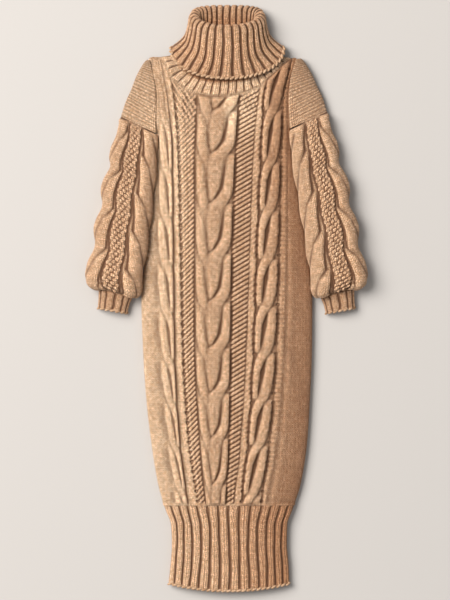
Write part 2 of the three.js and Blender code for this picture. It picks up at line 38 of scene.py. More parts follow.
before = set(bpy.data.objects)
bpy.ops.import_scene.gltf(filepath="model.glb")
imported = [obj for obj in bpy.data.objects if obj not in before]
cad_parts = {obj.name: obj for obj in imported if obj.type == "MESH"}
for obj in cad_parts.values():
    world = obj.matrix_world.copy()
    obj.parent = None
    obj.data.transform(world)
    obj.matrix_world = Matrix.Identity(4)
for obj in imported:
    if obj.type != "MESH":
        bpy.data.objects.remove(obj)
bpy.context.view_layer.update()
BODY = "root"
MM = 0.001


# Tables, one dictionary a row
def table(columns, *rows):
    return tuple(dict(zip(columns, row)) for row in rows)


# Sizes of the cut, in millimetres, in the frame's own axes: +Y from hem to neck, +Z off the table
HEM_SEAM_Y = -497
HEM_EDGE_Y = -701
HEM_EDGE_SAG = 17
HEM_CROWN = 25
UNDERARM_Y = 395
SIDE_SEAM_Z = 9
ARMHOLE_FRONT_Z = 25
SEAM_GAP = 0.3
WALL = 4
COLLAR_WALL = 5
COLLAR_MIDDLE_X = 2
BODY_ARCH = 2.7
BACK_ARCH = 7
NORMAL_STEP = 1e-3
# Painted light level, a little dim, for pieces that have no painted light of their own
PLAIN_PAINTED_LIGHT = 0.6

BODY_SIDES = table(
    ("y", "left", "right", "crown"),
    (-497, -150, 162, 31),
    (-446, -164, 178, 33),
    (-341, -181, 194, 35),
    (-245, -192, 200, 36),
    (-125, -200, 205, 36),
    (-5, -204, 206, 36),
    (115, -192, 194, 35),
    (235, -179, 175, 34),
    (355, -169, 157, 34),
    (475, -169, 150, 35),
    (523, -175, 154, 36),
    (571, -186, 168, 36),
)

# Where each knitted column of the front starts, at each height
COLUMN_NAMES = ("ropeL", "stitchL", "slantL", "horn", "slantR", "stitchR", "ropeR", "holes", "plain")
FRONT_COLUMNS = table(
    ("y",) + COLUMN_NAMES,
    (-497, -119, -92, -67, -50, -2, 17, 35, 82, 95),
    (-341, -139, -112, -90, -65, 6, 34, 53, 103, 122),
    (-125, -157, -124, -104, -76, 10, 47, 66, 119, 138),
    (115, -163, -127, -109, -77, 13, 55, 74, 126, 144),
    (355, -160, -130, -115, -76, 22, 64, 84, 131, 146),
    (475, -160, -141, -124, -71, 30, 76, 90, 136, 145),
    (571, -176, -158, -140, -75, 38, 92, 112, 156, 163),
)
NECK_DIP = 7
FRONT_TOP = (573, 578, 577, 523, 490, 490, 507, 528, 574, 576, 573)
ROPE_RIGHT_TURNS = (-471, -352, -243, -132, -20, 93, 209, 326, 448)
ROPE_LEFT_TURNS = (-458, -356, -252, -148, -34, 79, 193, 308, 424, 536)
HORN_TURNS = (-446, -335, -228, -120, -9, 106, 226, 345, 447)

HEM_SIDES = table(
    ("share", "left", "right"),
    (0, -139, 151),
    (0.25, -134, 149),
    (0.5, -131, 145),
    (0.75, -133, 146),
    (0.93, -145, 157),
    (1, -150, 162),
)
BACK_TOP = table(
    ("share", "y"),
    (0, 573),
    (0.06, 577),
    (0.2, 584),
    (0.3, 588),
    (0.72, 588),
    (0.82, 584),
    (0.95, 576),
    (1, 573),
)
NECK_LIFT = 5.6

ROUND = ("reach", "outer_y", "inner_y", "inner_reach", "height")
SLEEVE_ROUNDS = table(
    ROUND,
    (304.3, 25, 3, 226.3, 27),
    (311, 26.5, 4.7, 220, 35),
    (322, 30, 9.5, 211.7, 43),
    (331.7, 38.4, 21.6, 208.5, 48),
    (334.7, 54, 38.4, 207.5, 50),
    (326, 86.4, 64.8, 203.5, 50),
    (311.5, 124.8, 98.4, 198.5, 49),
    (313.2, 158.4, 129.6, 193.5, 48),
    (308, 184.8, 156, 189.5, 47),
    (294, 220.8, 188.4, 184.5, 45),
    (296.4, 252, 218.4, 180, 44),
    (291, 278.4, 242.4, 177, 43),
    (275, 314.4, 278.4, 174, 40),
    (277, 333.6, 297.6, 172, 39),
    (272.4, 355.2, 319.2, 171, 38),
    (258, 393.6, 357.6, 170, 35),
    (253.2, 434.5, 394.9, 169.5, 27),
)
CUFF_ROUNDS = table(
    ROUND,
    (306, -24, -36, 240, 24),
    (304.5, 2, -14, 234, 25),
    (304.3, 24.4, 2.4, 226.3, 27),
)
SHOULDER_ROUNDS = table(
    ("reach", "outer_y", "arm_y", "height"),
    (253.2, 433.4, 393.8, 27),
    (241.2, 470.4, 427, 27),
    (229.2, 496.8, 465, 27),
    (217.2, 528, 506, 30),
    (206.4, 549.6, 538, 28),
    (195.6, 566, 561, 24),
    (190.5, 570.5, 569, 16),
)
COLLAR_ROUND = ("half", "front_y", "side_y", "back_y", "top", "bottom")
COLLAR_ROUNDS = table(
    COLLAR_ROUND,
    (134.5, 525, 596, 600, 46.5, 2.8),
    (117, 545, 607, 613, 48, 2.8),
    (97, 576, 627, 642, 55, 2.8),
    (89.5, 612, 652, 672, 61, 2.8),
    (87, 635, 668, 689, 64, 4),
    (79.5, 646, 677, 697, 62, 9),
    (71, 640, 671, 690, 54, 15),
    (69, 614, 650, 668, 50, 15),
    (76, 580, 618, 628, 45, 11.5),
    (90, 549, 588, 593, 39.5, 8.4),
)
RIGHT_LIFT = 12
RIGHT_SHOULDER_IN = 12
LIFT_FROM_Y = 120
LEVEL_FROM_Y = 470
BODY_CLEAR = 2.2
ARMHOLE_GAP = -1.5
SIDES = {"left": -1, "right": 1}

HEM_RIBS = 14
COLLAR_RIBS = 30
YOKE_RIBS = 19
CUFF_RIBS = 12
GARTER_ROWS = 27
GARTER_HIGH = 0.95
CUFF_RIB_HIGH = 3.0
STITCH_WIDE = 6.4
STITCH_HIGH = 5.2
BEAD_WIDE = 7.8
NECK_BEAD_WIDE = 8.8


# Curves and shares
def smooth(start, end, at):
    t = np.clip((at - start) / (end - start), 0, 1)
    return t * t * (3 - 2 * t)


def mix(a, b, t):
    return a + (b - a) * t


def wave(turns):
    return np.cos(2 * np.pi * turns)


def hump(at, power):
    """A rounded ridge between whole numbers: 0 at each of them, 1 half way."""
    return 1 - np.abs(2 * (at % 1) - 1) ** power


def through(rows, key, column):
    """Smooth curve through a table's rows, never past its neighbours' values."""
    x = np.array([row[key] for row in rows], float)
    y = np.array([row[column] for row in rows], float)
    rise = np.diff(y) / np.diff(x)
    slope = np.concatenate([rise[:1], rise[1:], rise[-1:]])
    before, after = rise[:-1], rise[1:]
    same = before * after > 0
    total = np.where(same, before + after, 1)
    slope[1:-1] = np.where(same, 2 * before * after / total, 0)

    def curve(at):
        i = np.clip(np.searchsorted(x, at, side="right") - 1, 0, len(x) - 2)
        wide = x[i + 1] - x[i]
        t = np.clip((at - x[i]) / wide, 0, 1)
        rising = slope[i] * wide * t * (1 - t) ** 2 - slope[i + 1] * wide * t * t * (1 - t)
        return y[i] + (y[i + 1] - y[i]) * t * t * (3 - 2 * t) + rising

    return curve


def arch(share, power=4.5):
    return np.maximum(1 - np.abs(2 * share - 1) ** power, 0) ** (1 / power)


def table_curves(rows, names):
    numbered = [dict(row, i=i / (len(rows) - 1)) for i, row in enumerate(rows)]
    return {name: through(numbered, "i", name) for name in names}


def edge_dense(count):
    t = np.linspace(0, 1, count + 1)
    return mix(t, t * t * (3 - 2 * t), 0.85)


def evenly(count):
    return np.linspace(0, 1, count + 1)


body_left = through(BODY_SIDES, "y", "left")
body_right = through(BODY_SIDES, "y", "right")
body_crown = through(BODY_SIDES, "y", "crown")


# Cloth: a closed thin shell from an outside face, its relief and a plain inside
def blurred(field, across, along, ring):
    """A running mean over the grid, for telling hollows from crests."""
    for axis, reach in ((1, across), (0, along)):
        mode = "wrap" if ring and axis == 1 else "edge"
        pad = [(0, 0), (0, 0)]
        pad[axis] = (reach, reach)
        total = np.cumsum(np.pad(field, pad, mode=mode), axis=axis)
        total = np.insert(total, 0, 0, axis=axis)
        wide = 2 * reach + 1
        upper = np.take(total, np.arange(wide, total.shape[axis]), axis=axis)
        lower = np.take(total, np.arange(0, total.shape[axis] - wide), axis=axis)
        field = (upper - lower) / wide
    return field


def face_points(face, limit, ring, u, v, offset):
    """Points at an offset from a face, along its normal."""
    def at(u, v):
        u = u % 1.0 if ring else np.clip(u, 0, 1)
        return face(u, np.clip(v, 0, 1))

    across = at(u + NORMAL_STEP, v) - at(u - NORMAL_STEP, v)
    along = at(u, v + NORMAL_STEP) - at(u, v - NORMAL_STEP)
    normal = np.cross(across, along)
    normal /= np.maximum(np.linalg.norm(normal, axis=2, keepdims=True), 1e-9)
    points = at(u, v) + normal * np.asarray(offset)[..., None]
    return (limit(points) if limit else points).reshape(-1, 3)


def skin_quads(first, nu, nv, ring):
    """Quads over a grid whose first point has the number first."""
    j, i = np.meshgrid(np.arange(nv - 1), np.arange(nu if ring else nu - 1), indexing="ij")
    a = first + j * nu + i
    b = first + j * nu + (i + 1) % nu
    return np.stack([a, b, b + nu, a + nu], -1).reshape(-1, 4)


def rim_tris(outer, inner):
    """Triangles between two edges that run side by side, each given by its points' numbers and places."""
    (outer_ids, outer_at), (inner_ids, inner_at) = outer, inner
    tris = []
    i = j = 0
    while i < len(outer_ids) - 1 or j < len(inner_ids) - 1:
        last_inner = j == len(inner_ids) - 1
        if last_inner or (i < len(outer_ids) - 1 and outer_at[i + 1] <= inner_at[j + 1]):
            tris.append((outer_ids[i + 1], outer_ids[i], inner_ids[j]))
            i += 1
        else:
            tris.append((outer_ids[i], inner_ids[j], inner_ids[j + 1]))
            j += 1
    return tris


def row_edge(first, us, j, ring):
    ids = [first + j * len(us) + i for i in range(len(us))]
    return (ids + ids[:1], list(us) + [1.0]) if ring else (ids, list(us))


def column_edge(first, us, vs, i):
    return [first + j * len(us) + i for j in range(len(vs))], list(vs)


def backwards(edge):
    ids, places = edge
    return ids[::-1], [1 - place for place in places[::-1]]


def cloth_faces(us, vs, inner_us, inner_vs, ring):
    """Quads over the outside and the inside, and triangles along the rims that close them."""
    nu, nv, mu, mv = len(us), len(vs), len(inner_us), len(inner_vs)
    first = nu * nv
    quads = np.concatenate([skin_quads(0, nu, nv, ring), skin_quads(first, mu, mv, ring)[:, ::-1]])
    tris = rim_tris(row_edge(0, us, 0, ring), row_edge(first, inner_us, 0, ring))
    far_inner = backwards(row_edge(first, inner_us, mv - 1, ring))
    tris += rim_tris(backwards(row_edge(0, us, nv - 1, ring)), far_inner)
    if not ring:
        near_inner = backwards(column_edge(first, inner_us, inner_vs, 0))
        tris += rim_tris(backwards(column_edge(0, us, vs, 0)), near_inner)
        tris += rim_tris(column_edge(0, us, vs, nu - 1), column_edge(first, inner_us, inner_vs, mu - 1))
    return quads, np.array(tris)


def mesh_of(name, points, quads, tris):
    mesh = bpy.data.meshes.new(name)
    corners = np.concatenate([quads.reshape(-1), tris.reshape(-1)])
    sizes = np.concatenate([np.full(len(quads), 4), np.full(len(tris), 3)])
    starts = np.concatenate([[0], np.cumsum(sizes)[:-1]])
    mesh.vertices.add(len(points))
    mesh.vertices.foreach_set("co", points.reshape(-1))
    mesh.loops.add(len(corners))
    mesh.loops.foreach_set("vertex_index", corners)
    mesh.polygons.add(len(sizes))
    mesh.polygons.foreach_set("loop_start", starts)
    mesh.update(calc_edges=True)
    mesh.polygons.foreach_set("use_smooth", np.ones(len(sizes), bool))
    return mesh, corners


def put_in_scene(name, data):
    piece = bpy.data.objects.new(name, data)
    bpy.context.collection.objects.link(piece)
    return piece


def cloth(name, face, us, vs, inner_us, inner_vs, uv, wall=WALL, relief=None, limit=None, ring=False,
          middle=False, relief_shade_reach=(5, 5), relief_shade_weight=None, painted_light=None):
    half = wall / 2 if middle else 0
    u, v = np.meshgrid(us, vs)
    inner_u, inner_v = np.meshgrid(inner_us, inner_vs)
    raised = relief(u, v) if relief else np.zeros_like(u)
    outer = face_points(face, limit, ring, u, v, half + raised)
    inner = face_points(face, limit, ring, inner_u, inner_v, half - wall)
    points = np.concatenate([outer, inner]) * MM
    mesh, corners = mesh_of(name, points, *cloth_faces(us, vs, inner_us, inner_vs, ring))

    # Painted shade in the relief's hollows and painted highlight on its crests, by how far each point lies
    # under or over the mean around it
    painted_relief_shade = np.zeros(len(points))
    dips = raised - blurred(raised, *relief_shade_reach, ring)
    painted_relief_shade[:u.size] = (dips * (relief_shade_weight(u, v) if relief_shade_weight else 1)).reshape(-1)
    # Painted light and shade per point, which the material turns into paler or darker colour
    painted_light_values = np.full(len(points), PLAIN_PAINTED_LIGHT)
    if painted_light:
        painted_light_values[:u.size] = painted_light(u, v).reshape(-1)
    for key, values in (("painted_relief_shade", painted_relief_shade), ("painted_light", painted_light_values)):
        mesh.attributes.new(key, "FLOAT", "POINT").data.foreach_set("value", values)
    stitches = [np.stack(uv(*grid), -1).reshape(-1, 2) for grid in ((u, v), (inner_u, inner_v))]
    layer = mesh.uv_layers.new(name="Stitches")
    layer.data.foreach_set("uv", np.concatenate(stitches)[corners].reshape(-1))
    mesh.validate()
    return put_in_scene(name, mesh)


def finish_cloth(piece, node, material):
    piece.data.materials.append(material)
    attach(piece, BODY)
    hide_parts(node)


# Knitted relief
def turn_share(y, turns):
    """Which repeat a height lies in, and how far down it: 0 just under one turn, 1 at the next turn below."""
    turns = np.array(turns, float)
    first, last = turns[1] - turns[0], turns[-1] - turns[-2]
    place = np.interp(y, turns, np.arange(len(turns)))
    place = np.where(y < turns[0], (y - turns[0]) / first, place)
    place = np.where(y > turns[-1], len(turns) - 1 + (y - turns[-1]) / last, place)
    return np.ceil(place) - place


def bead(off):
    return np.sqrt(np.maximum(1 - off * off, 0))


def strand(across, life, path, widths, rise=0.16, tip=0.1):
    """One cable strand. life runs from 0, where it comes out, to 2, where it tucks under."""
    centre = np.interp(life, *path)
    wide = np.interp(life, *widths)
    coming = np.clip(life / rise, 0, 1) ** 0.6
    going = np.sqrt(np.clip((2 - life) / tip, 0, 1))
    return bead((across - centre) / (wide * mix(0.55, 1, going))) * coming * going


ROPE_PATH = ((0, 0.4, 0.78, 1.0, 1.2, 1.4, 1.8, 2), (0.5, 0.5, 0.24, -0.05, -0.46, -0.7, -0.72, -0.66))
ROPE_WIDTHS = ((0, 0.4, 0.78, 1.0, 1.2, 1.4, 2), (0.42, 0.46, 0.55, 0.56, 0.46, 0.36, 0.3))


def rope(across, y, turns, lean):
    down = turn_share(y, turns)
    young = strand(lean * across, down, ROPE_PATH, ROPE_WIDTHS)
    old = strand(lean * across, down + 1, ROPE_PATH, ROPE_WIDTHS)
    return np.maximum(young * 0.92, old)


# The right-hand strand of each wishbone lies on top and sweeps past the middle, the left one is soft and low
HORN_PATH = (
    (0, 0.5, 0.68, 0.8, 0.9, 1.0, 1.12, 1.4, 1.7, 1.95, 2),
    (0.76, 0.75, 0.71, 0.6, 0.46, 0.2, 0.1, 0.0, -0.03, -0.15, -0.18),
)
HORN_WIDTHS = (
    (0, 0.68, 0.9, 1.0, 1.12, 1.4, 1.7, 1.95, 2),
    (0.27, 0.29, 0.38, 0.5, 0.52, 0.48, 0.33, 0.16, 0.13),
)
SOFT_PATH = ((0, 0.6, 0.8, 1.0, 1.2, 1.5, 2), (0.64, 0.64, 0.6, 0.5, 0.35, 0.2, 0.1))
SOFT_WIDTHS = ((0, 1, 1.3, 2), (0.27, 0.29, 0.26, 0.16))


def horn(across, y, turns):
    down = turn_share(y, turns)
    young = strand(across, down, HORN_PATH, HORN_WIDTHS)
    old = strand(across, down + 1, HORN_PATH, HORN_WIDTHS, tip=0.25)
    left_young = 0.66 * strand(-across, down, SOFT_PATH, SOFT_WIDTHS, rise=0.4)
    left_old = 0.62 * strand(-across, down + 1, SOFT_PATH, SOFT_WIDTHS, tip=0.8)
    return np.maximum.reduce([0.95 * young, old * mix(1, 0.72, smooth(0.2, 0.9, down)), left_young, left_old])


def slant(across_mm, y, slope, period):
    """Fine ridges that rise to the right, each a row of small beads, more broken up near the neck."""
    row = (y - slope * across_mm) / period
    dotted = smooth(395, 455, y)
    shift = 0.5 * dotted * (np.floor(row) % 2)
    beads = wave(across_mm / mix(BEAD_WIDE, NECK_BEAD_WIDE, dotted) + shift)
    return hump(row, 1.5) * (mix(0.8, 0.6, dotted) + mix(0.2, 0.4, dotted) * beads)


def groove(distance, wide):
    return np.exp(-(distance / wide) ** 2)


def rib_wave(place, power=2.6):
    return hump(place, power)


def middle_line(place):
    """The thin groove between a rib's two stitch columns."""
    return groove(place % 1 - 0.5, 0.08)


# Front of the body: relief in millimetres, over the cloth
ROPE_LEFT_HIGH = 3.8
ROPE_LEFT_BASE = 0.6
CABLE_HIGH = 7.6
SLANT_HIGH = 4.4
SLANT_SUNK = 1.6
TWIST_HIGH = 1.6
TWIST_EVERY = 13
KNOT_HIGH = 0.8
KNOT_EVERY = 108
SIDE_RIDGE_HIGH = 1.2
HEM_RIB_MEAN = 1.7
FRONT_FADE = 0.012
LINE_DEPTHS = (0, 0.3, 1.5, 2.4, 1.8, 2.8, 1.4, 2.1, 1.2, 0.9, 0)
LINE_WIDE = 2.2
DOTTED_LINES = (3, 7, 8)
DOT_EVERY = 23.5
DOT_DEEP = 4.0
DOT_WIDE = 3.4
CREASE_WIDE = 14
CREASES = table(
    ("x", "y", "lean", "long", "deep"),
    (-96, 190, 0.5, 90, 0.45),
    (150, -120, -0.25, 160, 0.35),
    (-178, -60, 0.2, 150, 0.25),
    (172, 60, 0.1, 190, 0.3),
)
# How much painted shade each column's hollows get, and the painted light from the left side to the right,
# paler on the left and darker on the right
COLUMN_RELIEF_SHADES = (0.5, 0.5, 0.8, 1, 0.5, 1, 0.9, 0.52, 1, 0.8)
PAINTED_LIGHT_ACROSS = ((0, 0.14, 0.3, 0.6, 0.72, 0.84, 1), (1.7, 1.6, 0.95, 0.82, 0.82, 0.4, 0.05))
CHEST_PAINTED_LIGHT = 1.1
column_lines = [body_left] + [through(FRONT_COLUMNS, "y", name) for name in COLUMN_NAMES] + [body_right]
COLUMN_STEPS = (14, 18, 8, 14, 32, 18, 8, 20, 8, 12)
COLUMNS = len(COLUMN_STEPS)
front_us = np.unique(np.concatenate(
    [(k + np.linspace(0, 1, steps + 1)) / COLUMNS for k, steps in enumerate(COLUMN_STEPS)]).round(9))
FRONT_INNER_LINES = np.array([0, 0.3, 1, 1.5, 2, 3, 3.5, 4, 4.33, 4.67, 5, 5.5, 6, 7, 7.5, 8, 9, 9.7, 10])
front_top_curve = through([dict(i=i, y=y) for i, y in enumerate(FRONT_TOP)], "i", "y")
front_line_ys = np.linspace(HEM_SEAM_Y, 580, 400)
front_line_xs = np.stack([line(front_line_ys) for line in column_lines])


def front_top(place):
    return front_top_curve(place) - NECK_DIP * np.sin(np.pi * np.clip(place - 4, 0, 1))


def front_place(u, v):
    place = u * COLUMNS
    k = np.clip(np.floor(place).astype(int), 0, COLUMNS - 1)
    return place, k, place - k, mix(HEM_SEAM_Y, front_top(place), v)


def front_x(k, t, y):
    """Where a place in a column lies, and how wide the column is there."""
    eased = np.where(k == 0, t ** 1.8, np.where(k == COLUMNS - 1, 1 - (1 - t) ** 1.8, t))
    last = len(front_line_ys) - 1
    at = np.clip((y - HEM_SEAM_Y) / (front_line_ys[-1] - HEM_SEAM_Y) * last, 0, last - 0.001)
    low = np.floor(at).astype(int)
    part = at - low
    left = mix(front_line_xs[k, low], front_line_xs[k, low + 1], part)
    right = mix(front_line_xs[k + 1, low], front_line_xs[k + 1, low + 1], part)
    return mix(left, right, eased), right - left


def front_height(x, y):
    shoulder_y = mix(577, 592, smooth(160, 100, np.abs(x + 6)))
    share = np.clip((x - body_left(y)) / (body_right(y) - body_left(y)), 0, 1)
    edge = mix(SIDE_SEAM_Z, ARMHOLE_FRONT_Z, smooth(UNDERARM_Y - 14, UNDERARM_Y + 26, y))
    shoulder = smooth(0, 42, shoulder_y - y) ** 0.6
    return mix(SIDE_SEAM_Z, edge + (body_crown(y) - edge) * arch(share, BODY_ARCH), shoulder)


def front_face(u, v):
    _, k, t, y = front_place(u, v)
    x, _ = front_x(k, t, y)
    return np.stack([x, y, front_height(x, y)], -1)


def front_columns(k, t, y, wide):
    """Each column's height over the cloth, from the left side seam to the right one."""
    across = 2 * t - 1
    across_mm = t * wide
    knots = 0.5 + 0.5 * wave((y + 20) / KNOT_EVERY)
    twists = 0.7 + 0.3 * wave((y - 0.8 * across_mm) / TWIST_EVERY)
    columns = (
        0 * y,
        ROPE_LEFT_HIGH * rope(0.9 * across, y, ROPE_LEFT_TURNS, -1) + ROPE_LEFT_BASE,
        TWIST_HIGH * bead(across * 0.92) * (0.85 + 0.15 * wave(y / 9)),
        SLANT_HIGH * slant(across_mm, y, 0.95, 11.6) - SLANT_SUNK,
        CABLE_HIGH * horn(across, y, HORN_TURNS),
        SLANT_HIGH * slant(across_mm, y, 0.6, 11.4) - SLANT_SUNK,
        TWIST_HIGH * bead(across * 0.9) * twists + KNOT_HIGH * knots,
        CABLE_HIGH * rope(across, y, ROPE_RIGHT_TURNS, 1),
        bead(across * 0.9) * (0.7 + 0.3 * wave(y / 11)),
        SIDE_RIDGE_HIGH * groove(t - 0.05, 0.05),
    )
    return np.choose(k, columns)


def front_lines(place, y, wide, quiet):
    """How deep the lines between the columns lie, with a row of dots along three of them."""
    nearest = np.round(place)
    off_mm = np.abs(place - nearest) * wide
    depth = np.array(LINE_DEPTHS)[nearest.astype(int)] * (1 - 0.5 * quiet * (nearest <= 2))
    dots = np.isin(nearest, DOTTED_LINES) & (wave((y - 8) / DOT_EVERY) > 0.72)
    return depth * groove(off_mm, LINE_WIDE) + dots * DOT_DEEP * groove(off_mm, DOT_WIDE)


def front_creases(x, y):
    total = 0
    for crease in CREASES:
        up = y - crease["y"]
        side = x - crease["x"] - crease["lean"] * up
        total = total + crease["deep"] * np.exp(-(up / crease["long"]) ** 2 - (side / CREASE_WIDE) ** 2)
    return total


def front_relief(u, v):
    place, k, t, y = front_place(u, v)
    x, wide = front_x(k, t, y)
    quiet = smooth(370, 470, y)
    raised = front_columns(k, t, y, wide) * (1 - 0.75 * quiet * (k <= 2))
    raised = raised - front_lines(place, y, wide, quiet) - front_creases(x, y)
    fade = smooth(0, FRONT_FADE, v) * smooth(1, 1 - FRONT_FADE, v)
    return raised * fade + HEM_RIB_MEAN * smooth(FRONT_FADE, 0, v)


def front_relief_shade(u, v):
    """The cables are rounder and softer than the slanting ridges, so their edges get less painted shade."""
    _, k, _, _ = front_place(u, v)
    return np.choose(k, COLUMN_RELIEF_SHADES)


def front_uv(u, v):
    _, k, t, y = front_place(u, v)
    x, _ = front_x(k, t, y)
    return x / STITCH_WIDE, y / STITCH_HIGH


def front_painted_light(u, v):
    """Painted light: the left side is painted paler, and so are the chest's right half and the shoulders,
    while the right side is painted darker.
    """
    _, k, t, y = front_place(u, v)
    x, _ = front_x(k, t, y)
    share = (x - body_left(y)) / (body_right(y) - body_left(y))
    share = np.maximum(share, 0.24 * smooth(350, 470, y))
    chest = smooth(340, 440, y) * smooth(0.48, 0.56, share) * smooth(0.88, 0.68, share)
    return np.interp(share, *PAINTED_LIGHT_ACROSS) + CHEST_PAINTED_LIGHT * chest


def everywhere(amount):
    return lambda u, v: np.full_like(u, amount)


def above_seam(points):
    points[..., 2] = np.maximum(points[..., 2], SIDE_SEAM_Z)
    return points


def below_seam(points):
    points[..., 2] = np.minimum(points[..., 2], SIDE_SEAM_Z - SEAM_GAP)
    return points


def over_hem_seam(points):
    points[..., 1] = np.maximum(points[..., 1], HEM_SEAM_Y)
    return points


def under_hem_seam(points):
    points[..., 1] = np.minimum(points[..., 1], HEM_SEAM_Y - SEAM_GAP)
    return points


def build_front(material):
    piece = cloth("front_knit", front_face, front_us, evenly(620), FRONT_INNER_LINES / COLUMNS, evenly(24),
                  relief=front_relief, uv=front_uv, limit=lambda p: above_seam(over_hem_seam(p)),
                  relief_shade_reach=(4, 5), relief_shade_weight=front_relief_shade, painted_light=front_painted_light)
    finish_cloth(piece, "front_body", material)


# Back of the body
back_top = through(BACK_TOP, "share", "y")


def back_face(u, v):
    share = 1 - u
    y = mix(HEM_SEAM_Y, back_top(share), v)
    x = mix(body_left(y), body_right(y), share)
    side_lift = mix(SIDE_SEAM_Z - SEAM_GAP, 0, smooth(UNDERARM_Y - 26, UNDERARM_Y + 4, y))
    neck = smooth(90, 70, np.abs(x - COLLAR_MIDDLE_X))
    end_lift = mix(SIDE_SEAM_Z - 1.5, NECK_LIFT, neck) * smooth(48, 0, back_top(share) - y) ** 1.6
    return np.stack([x, y, side_lift * (1 - arch(share, BACK_ARCH)) + end_lift], -1)


def back_uv(u, v):
    share = 1 - u
    y = mix(HEM_SEAM_Y, back_top(share), v)
    return mix(body_left(y), body_right(y), share) / STITCH_WIDE, y / STITCH_HIGH


def build_back(material):
    piece = cloth("back_knit", back_face, edge_dense(70), evenly(160), edge_dense(16), evenly(20), uv=back_uv,
                  limit=lambda p: below_seam(over_hem_seam(p)))
    finish_cloth(piece, "back_body", material)


# Hem rib
RIB_SUNK = 1.6
MIDDLE_LINE_DEEP = 0.7
HEM_RIB_HIGH = 5.0
HEM_LONG = 204
hem_left = through(HEM_SIDES, "share", "left")
hem_right = through(HEM_SIDES, "share", "right")


def hem_point(share, v, z):
    edge_y = HEM_EDGE_Y + HEM_EDGE_SAG * (2 * share - 1) ** 2
    x = mix(hem_left(v), hem_right(v), share)
    return np.stack([x, mix(edge_y, HEM_SEAM_Y - SEAM_GAP, v), z], -1)


def hem_front_face(u, v):
    share = mix(u, 0.5 - 0.5 * np.cos(np.pi * u), 0.35)
    crown = mix(HEM_CROWN, body_crown(HEM_SEAM_Y), v)
    return hem_point(share, v, SIDE_SEAM_Z + (crown - SIDE_SEAM_Z) * arch(share, BODY_ARCH))


def hem_back_face(u, v):
    return hem_point(1 - u, v, (SIDE_SEAM_Z - SEAM_GAP) * (1 - arch(u, BACK_ARCH)))


def rib_uv(ribs, per_rib, long_mm):
    return lambda u, v: (u * ribs * per_rib, v * long_mm / STITCH_HIGH)


def wandering(u, v, strength):
    """Ribs never run quite straight: a slow sideways wander that differs from rib to rib."""
    slow = np.sin(5.1 * v + 9 * u)
    return strength * (slow + 0.6 * np.sin(11 * v - 23 * u + 1.3) + 0.3 * np.sin(23 * v + 41 * u))


def rib_heights(place, high):
    return high * rib_wave(place) - RIB_SUNK - MIDDLE_LINE_DEEP * middle_line(place)


def hem_relief(u, v):
    place = u * HEM_RIBS + wandering(u, 0.6 * v, 0.06) * smooth(0, 0.05, u) * smooth(1, 0.95, u)
    ends = mix(0.5, 1, smooth(0, 0.05, v)) * mix(0.55, 1, smooth(1, 0.9, v))
    return rib_heights(place, HEM_RIB_HIGH) * ends


def hem_painted_light(u, v):
    """Painted light: the hem is painted paler on the left and darker on the right, like the front."""
    x = hem_front_face(u, v)[..., 0]
    return np.interp(x, (-140, 0, 150), (0.95, 0.6, -0.05))


def build_hem(material):
    front = cloth("hem_rib_front_knit", hem_front_face, evenly(HEM_RIBS * 16), evenly(110), edge_dense(16),
                  evenly(8), relief=hem_relief, uv=rib_uv(HEM_RIBS, 2, HEM_LONG),
                  limit=lambda p: above_seam(under_hem_seam(p)), relief_shade_reach=(6, 2),
                  relief_shade_weight=everywhere(0.85), painted_light=hem_painted_light)
    finish_cloth(front, "hem_rib_front", material)
    build_chain("hem_bound_edge", edge_points(hem_front_face, np.linspace(0.02, 0.98, 120), 0.8), 0.4)
    back = cloth("hem_rib_back_knit", hem_back_face, edge_dense(60), evenly(50), edge_dense(12), evenly(8),
                 uv=rib_uv(HEM_RIBS, 2, HEM_LONG), limit=lambda p: below_seam(under_hem_seam(p)))
    finish_cloth(back, "hem_rib_back", material)


# Roll collar and neck yoke
COLLAR_RIB_HIGH = 5.4
YOKE_RIB_HIGH = 2.9
YOKE_UNDER_COLLAR = 3.8


def round_at(share, top_power, bottom_power):
    angle = np.pi * (1 - 2 * share)
    c, s = np.cos(angle), np.sin(angle)
    across = np.sign(c) * np.abs(c) ** (2 / top_power)
    down = np.maximum(0, 1 - np.abs(across) ** bottom_power) ** (1 / bottom_power)
    return across, np.where(s >= 0, np.abs(s) ** (2 / top_power), -down)


collar_curves = table_curves(COLLAR_ROUNDS, COLLAR_ROUND)


def collar_face(u, v):
    across, up = round_at(u, 2.1, 3.2)
    at = {name: curve(v) for name, curve in collar_curves.items()}
    middle = mix(at["bottom"], at["top"], 0.4)
    y = np.where(up >= 0, mix(at["side_y"], at["front_y"], up), mix(at["side_y"], at["back_y"], -up))
    z = np.where(up >= 0, mix(middle, at["top"], up), mix(middle, at["bottom"], -up))
    return np.stack([COLLAR_MIDDLE_X + at["half"] * across, y, z], -1)


def collar_painted_light(u, v):
    """Painted light and shade: the collar is painted a little dim, its inside past the fold darker still
    because less light gets in there, and the fold a little paler.
    """
    fold = smooth(0.2, 0.42, v) * smooth(0.56, 0.5, v)
    return mix(0.5, -0.3, smooth(0.66, 0.9, v)) + 0.15 * fold


def collar_relief(u, v):
    under = (u > 0.5) & (v < 0.5)
    flat = np.where(under, 1 - smooth(0.5, 0.56, u) * smooth(1, 0.94, u), 1)
    ribs = rib_heights(u * COLLAR_RIBS + wandering(u, v, 0.09), COLLAR_RIB_HIGH)
    return ribs * flat * smooth(1, 0.9, v) * mix(0.4, 1, smooth(0, 0.06, v))


YOKE_SEAM = 0.4
YOKE_TUCK = 9
yoke_places = np.linspace(0.2, 0.8, 400)
yoke_edge = front_face(yoke_places, np.ones(400))
yoke_run = np.concatenate([[0], np.cumsum(np.linalg.norm(np.diff(yoke_edge, axis=0), axis=1))])


